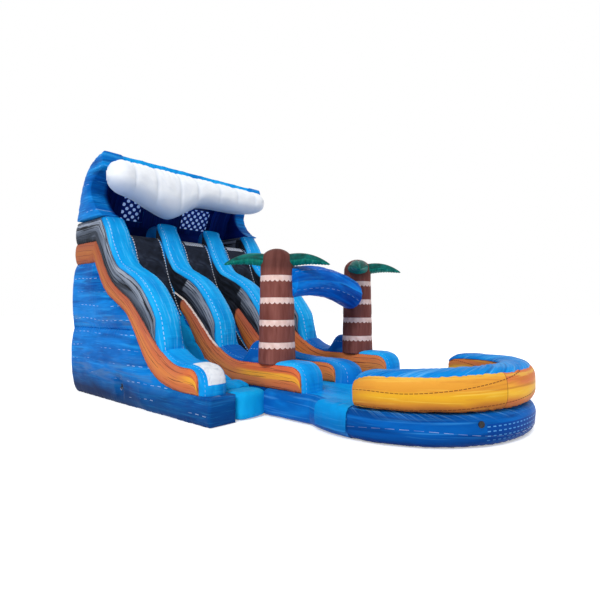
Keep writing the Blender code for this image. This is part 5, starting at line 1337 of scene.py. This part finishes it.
def build_runout():
    """The run-out: level rows across, as wide as the base of the slide and then as the pool's circle, with
    rounded sides and shallow lengthwise chambers. An exit sheet is swept round the circle over each of its
    edges."""
    depth = np.linspace(TOWER_DEPTH, POOL_CENTRE, 150)[:, None]
    half = np.sqrt(np.clip(POOL_RADIUS ** 2 - (POOL_CENTRE - depth) ** 2, 0, None))
    half = np.where(depth < POOL_CENTRE - POOL_RADIUS * 0.4656, POOL_RADIUS * 0.885, half)
    turn = np.linspace(-math.pi / 2, math.pi / 2, 25)
    side_in = 0.20 * (1 - np.abs(np.cos(turn)) ** (2 / 3))
    side_z = 0.5 + 0.5 * power(np.sin(turn), 2 / 3)
    inner = np.linspace(1, -1, 121)[1:-1]
    channel = 0.012 * (np.abs(np.cos(inner * math.pi * 4)) ** 0.5 - 1)
    right = half - side_in
    x = np.hstack([right, (half - side_in[-1]) * inner, -right[:, ::-1], right[:, :1]])
    z = np.concatenate([side_z, 1 + channel / BASE, side_z[::-1], side_z[:1]]) * BASE
    flank = np.concatenate([np.ones(25), inner * 0, np.ones(26)])
    edge = np.where(flank > 0, 0.05, 0.1)
    form = shape(ease(at(POOL_ACROSS + x, depth, z), 0.003, 61, edge, 0.006), 0.5, edge)
    form = closed_ends(form, 0.005, 0.005)
    surface("runout_tube", form, light_blue, "light_blue_vinyl", "runout_bed", flag=flank)
    angle = np.linspace(0.0, 0.36, 60)[:, None]
    arc = np.linspace(0, 1, 40)
    share, past, above = np.transpose(EXIT_SECTION)
    fold = 0.006 * noise(angle * 24, arc * 3, 7)
    radius = POOL_RADIUS + np.interp(arc, share, past) + fold
    height = BASE + np.interp(arc, share, above) + fold
    for name, sign in (("near", -1), ("far", 1)):
        points = at(POOL_ACROSS + sign * radius * np.cos(angle), POOL_CENTRE - radius * np.sin(angle), height)
        made = surface(
            f"{name}_exit_cloth", shape(points, 0.5, 0.1), light_blue, "light_blue_vinyl",
            f"{name}_exit_sheet", flag=0.75 * step(0.35, 1.0, arc),
        )
        flat = tuple(float(run[-1]) for run in lengths(points))


# Palms and arch

def build_trunk(name, across):
    """A trunk: circles that narrow upwards, drawn in a little at each ring, with a dome on top."""
    foot, neck = TRUNK_RADII
    shoulder = np.linspace(0, math.pi / 2, 30)[-2::-1]
    dome = TRUNK_SHOULDER + TRUNK_DOME * np.cos(shoulder)
    z = np.concatenate([np.linspace(TRUNK_FOOT, TRUNK_SHOULDER, 120), dome])[:, None]
    radius = np.concatenate([np.linspace(foot, neck, 120), neck * np.sin(shoulder)])[:, None]
    turn = np.linspace(0, 2 * math.pi, 145)
    drawn = 0.006 * (ridge((z - RING_TOP) / RING_PITCH, 0.4) - 1) * (z < 2.4)
    r = radius + drawn + 0.003 * noise(turn * 6, z * 5, 2) * (radius > 0.05)
    points = at(across + r * np.cos(turn), PALM_DEPTH - r * np.sin(turn), z)
    form = closed_ends(shape(points, 0.5, 0.3), 0.001, None)
    surface(f"{name}_trunk_tube", form, bark, "brown_vinyl", f"{name}_palm_trunk")


def build_frond(name, number, across, share, stout):
    """A leaf at a share of a turn: rings along a flat arch, fullest near the trunk, with a frilled lower
    edge, a crease along its back and a pointed tip."""
    turn = 2 * math.pi * share
    s = np.linspace(0, 1, 170)[:, None]
    angle = np.linspace(-math.pi, math.pi, 73)
    sine, cosine = np.sin(angle), np.cos(angle)
    reach = FROND_ROOT + FROND_LENGTH * s
    z = FROND_HEIGHT + 0.035 * np.sin(math.pi * s) - 0.055 * s ** 2
    fat = FROND_FAT * stout * np.clip(1 - s ** 1.9, 0, 1) ** 0.8 + 0.004
    frill = ridge(s * FRILLS, 1.0)
    side = cosine * fat * (1.22 + 0.09 * frill ** 0.6 * np.abs(cosine) * (sine < 0.25))
    up = sine * fat * np.where(sine > 0, 0.95, 0.75) - 0.008 * np.clip(-sine, 0, 1) ** 1.5 * frill
    crease = -0.02 * np.exp(-(cosine / 0.16) ** 2) * (sine > 0) * np.sin(math.pi * s) ** 0.5
    x = reach * math.cos(turn) - side * math.sin(turn)
    y = reach * math.sin(turn) + side * math.cos(turn)
    form = closed_ends(shape(at(across + x, PALM_DEPTH - y, z + up + crease), s, 0.3), 0.001, 0.004)
    node = f"{name}_palm_frond_{number}"
    surface(f"{name}_leaf_{number}", form, leaf, "green_vinyl", node, flag=step(0.05, -0.25, sine))


def build_palms():
    """The palms, with their leaves by shares of a turn and by how stout they are, and the arch between them:
    circles along a cambered line, wrinkled lengthwise."""
    near, far = CENTRES[1], CENTRES[3]
    build_trunk("near", near)
    build_trunk("far", far)
    for name, across, leaves in (
        ("near", near, ((0.865, 1.0), (0.366, 1.0), (0.116, 1.0))),
        ("far", far, ((0.865, 1.0), (0.605, 1.25), (0.13, 1.0))),
    ):
        for number, (share, stout) in enumerate(leaves, 1):
            build_frond(name, number, across, share, stout)
    u = np.linspace(0, 1, 260)[:, None]
    turn = np.linspace(0, 2 * math.pi, 97)
    height = ARCH_HEIGHT + 0.09 * np.sin(math.pi * u) - 0.14 * u ** 2
    wrinkle = 0.010 * noise(turn * 5.1 + 2 * u, u * 5, 12) * step(0, 0.1, u)
    wrinkle = wrinkle + 0.006 * noise(turn * 9, u * 18, 13)
    r = ARCH_RADIUS + 0.03 * u ** 2 + wrinkle
    across = near + 0.10 + (far - near - 0.56) * u
    points = at(across, PALM_DEPTH + 0.13 + r * np.cos(turn), height + r * np.sin(turn))
    form = closed_ends(shape(points, 0.5, 0.3), 0.02, 0.14, 2.0)
    surface("arch_tube", form, arch_blue, "marbled_blue_vinyl", "palm_arch")


# Sleeve, strap and hard pieces

def build_sleeve():
    """The inflation sleeve: circles out to its end, gathered where its strap binds it, and circles of the
    bore back in. The strap is a band round it with a superellipse section."""
    u = np.linspace(0, 1, 160)[:, None]
    turn = np.linspace(0, 2 * math.pi, 97)
    gather = np.exp(-((u - STRAP_SHARE) / 0.05) ** 2)
    fold = 0.008 * noise(turn * 5, u * 7, 21) + 0.006 * gather * np.sin(turn * 22) - 0.010 * gather
    out = SLEEVE_RADIUS - 0.004 + fold * step(0, 0.05, u)
    r = np.concatenate([out, out[::-1] * 0 + SLEEVE_BORE])
    depth = -SLEEVE_LENGTH * np.concatenate([u, u[::-1]])
    points = at(SLEEVE_ACROSS + r * np.cos(turn), depth, SLEEVE_HEIGHT + r * np.sin(turn))
    surface("sleeve_tube", shape(points, 0.5, 0.3), wall_blue, "marbled_blue_vinyl", "inflation_sleeve")
    webbing = solid_look("strap_webbing", ((0.3, "#0C0D10"), (0.6, "#1E2026"), (0.8, "#34373F")), 60, 0.7)
    turn = turn[:, None]
    section = np.linspace(0, 2 * math.pi, 17)
    depth = -SLEEVE_LENGTH * STRAP_SHARE + power(np.cos(section), 0.4) * 0.02
    r = STRAP_RADIUS + power(np.sin(section), 0.6) * 0.004
    points = at(SLEEVE_ACROSS + r * np.cos(turn), depth, SLEEVE_HEIGHT + r * np.sin(turn))
    surface("sleeve_strap", shape(points, 0.5, 0.3), webbing, "black_webbing")


def paint_hard_pieces():
    """Worn materials for the hard pieces, which keep the part's own forms."""
    black = (0.3, "#0D0E11"), (0.6, "#1C1E23"), (0.8, "#30333A")
    zinc = (0.3, "#7F848B"), (0.6, "#A9AEB5"), (0.8, "#C9CDD2")
    dark = (0.3, "#0E0F12"), (0.6, "#1B1D21"), (0.8, "#2B2E34")
    red = (0.3, "#9E1A12"), (0.55, "#C0261A"), (0.8, "#D8402E")
    webbing = solid_look("tab_webbing", black, 80, 0.75)
    steel = solid_look("zinc_steel_worn", zinc, 30, 0.35, 1.0)
    plastic = solid_look("black_plastic_worn", dark, 24, 0.5)
    housing = solid_look("blower_shell", red, 9, 0.42, coat=0.2)
    for look, names in (
        (webbing, ("anchor_tab",)), (steel, ("anchor_ring", "blower_motor")), (housing, ("blower_housing",)),
        (plastic, ("drain_plug", "blower_inlet_guard", "blower_impeller", "blower_switch")),
    ):
        for name in names:
            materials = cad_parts[name].data.materials
            materials.clear()
            materials.append(look)


build_walls()
build_beds()
build_tower()
build_hood()
build_crest()
build_pool()
build_runout()
build_palms()
build_sleeve()
paint_hard_pieces()


# Floor, light and camera

def seen_rays(tree):
    """1 for the camera's rays and for the mirrored and refracted ones, 0 for the rays that light the
    object."""
    rays = tree.nodes.new("ShaderNodeLightPath")
    found = rays.outputs["Is Camera Ray"]
    for label in ("Is Glossy Ray", "Is Transmission Ray"):
        either = tree.nodes.new("ShaderNodeMath")
        either.operation = "MAXIMUM"
        tree.links.new(found, either.inputs[0])
        tree.links.new(rays.outputs[label], either.inputs[1])
        found = either.outputs[0]
    return found


floor_mesh = bpy.data.meshes.new("floor")
corners = [(x * FLOOR_REACH, y * FLOOR_REACH, -0.002) for x, y in ((-1, -1), (1, -1), (1, 1), (-1, 1))]
floor_mesh.from_pydata(corners, [], [(0, 1, 2, 3)])
floor = placed("floor", floor_mesh)
ground = bpy.data.materials.new("floor_paint")
ground.use_nodes = True
tree = ground.node_tree
paint = tree.nodes["Principled BSDF"].inputs
for label, value in (
    ("Base Color", (0.95, 0.95, 0.95, 1)), ("Roughness", 1.0), ("Specular IOR Level", 0.0),
    ("Emission Color", (1.0, 1.0, 1.0, 1)),
):
    paint[label].default_value = value
glow = tree.nodes.new("ShaderNodeMath")
glow.operation = "MULTIPLY"
glow.inputs[1].default_value = FLOOR_GLOW
tree.links.new(seen_rays(tree), glow.inputs[0])
tree.links.new(glow.outputs[0], paint["Emission Strength"])
floor_mesh.materials.append(ground)

world = bpy.data.worlds.new("studio")
bpy.context.scene.world = world
world.use_nodes = True
tree = world.node_tree
tone = tree.nodes.new("ShaderNodeMix")
tone.data_type = "RGBA"
tone.inputs[6].default_value = (0.50, 0.52, 0.56, 1)
tone.inputs[7].default_value = (1.0, 1.0, 1.0, 1)
tree.links.new(seen_rays(tree), tone.inputs[0])
tree.links.new(tone.outputs[2], tree.nodes["Background"].inputs["Color"])

# Each sun's name, its strength, its spread and its turns
for name, energy, spread, turns in (
    ("key", 1.7, 0.35, (0.75, 0.0, -1.15)), ("fill", 0.15, 1.2, (0.9, 0.0, 0.35)),
):
    lamp = bpy.data.lights.new(name, "SUN")
    lamp.energy = energy
    lamp.angle = spread
    placed(name, lamp).rotation_euler = turns

lens = bpy.data.cameras.new("camera")
lens.lens = CAMERA_LENS
lens.sensor_width = 36
lens.shift_y = CAMERA_SHIFT
camera = placed("camera", lens)
camera.location = CAMERA_PLACE
camera.rotation_euler = (math.pi / 2, 0.0, math.radians(CAMERA_TURN))
bpy.context.scene.camera = camera
bpy.context.scene.view_settings.view_transform = "Standard"
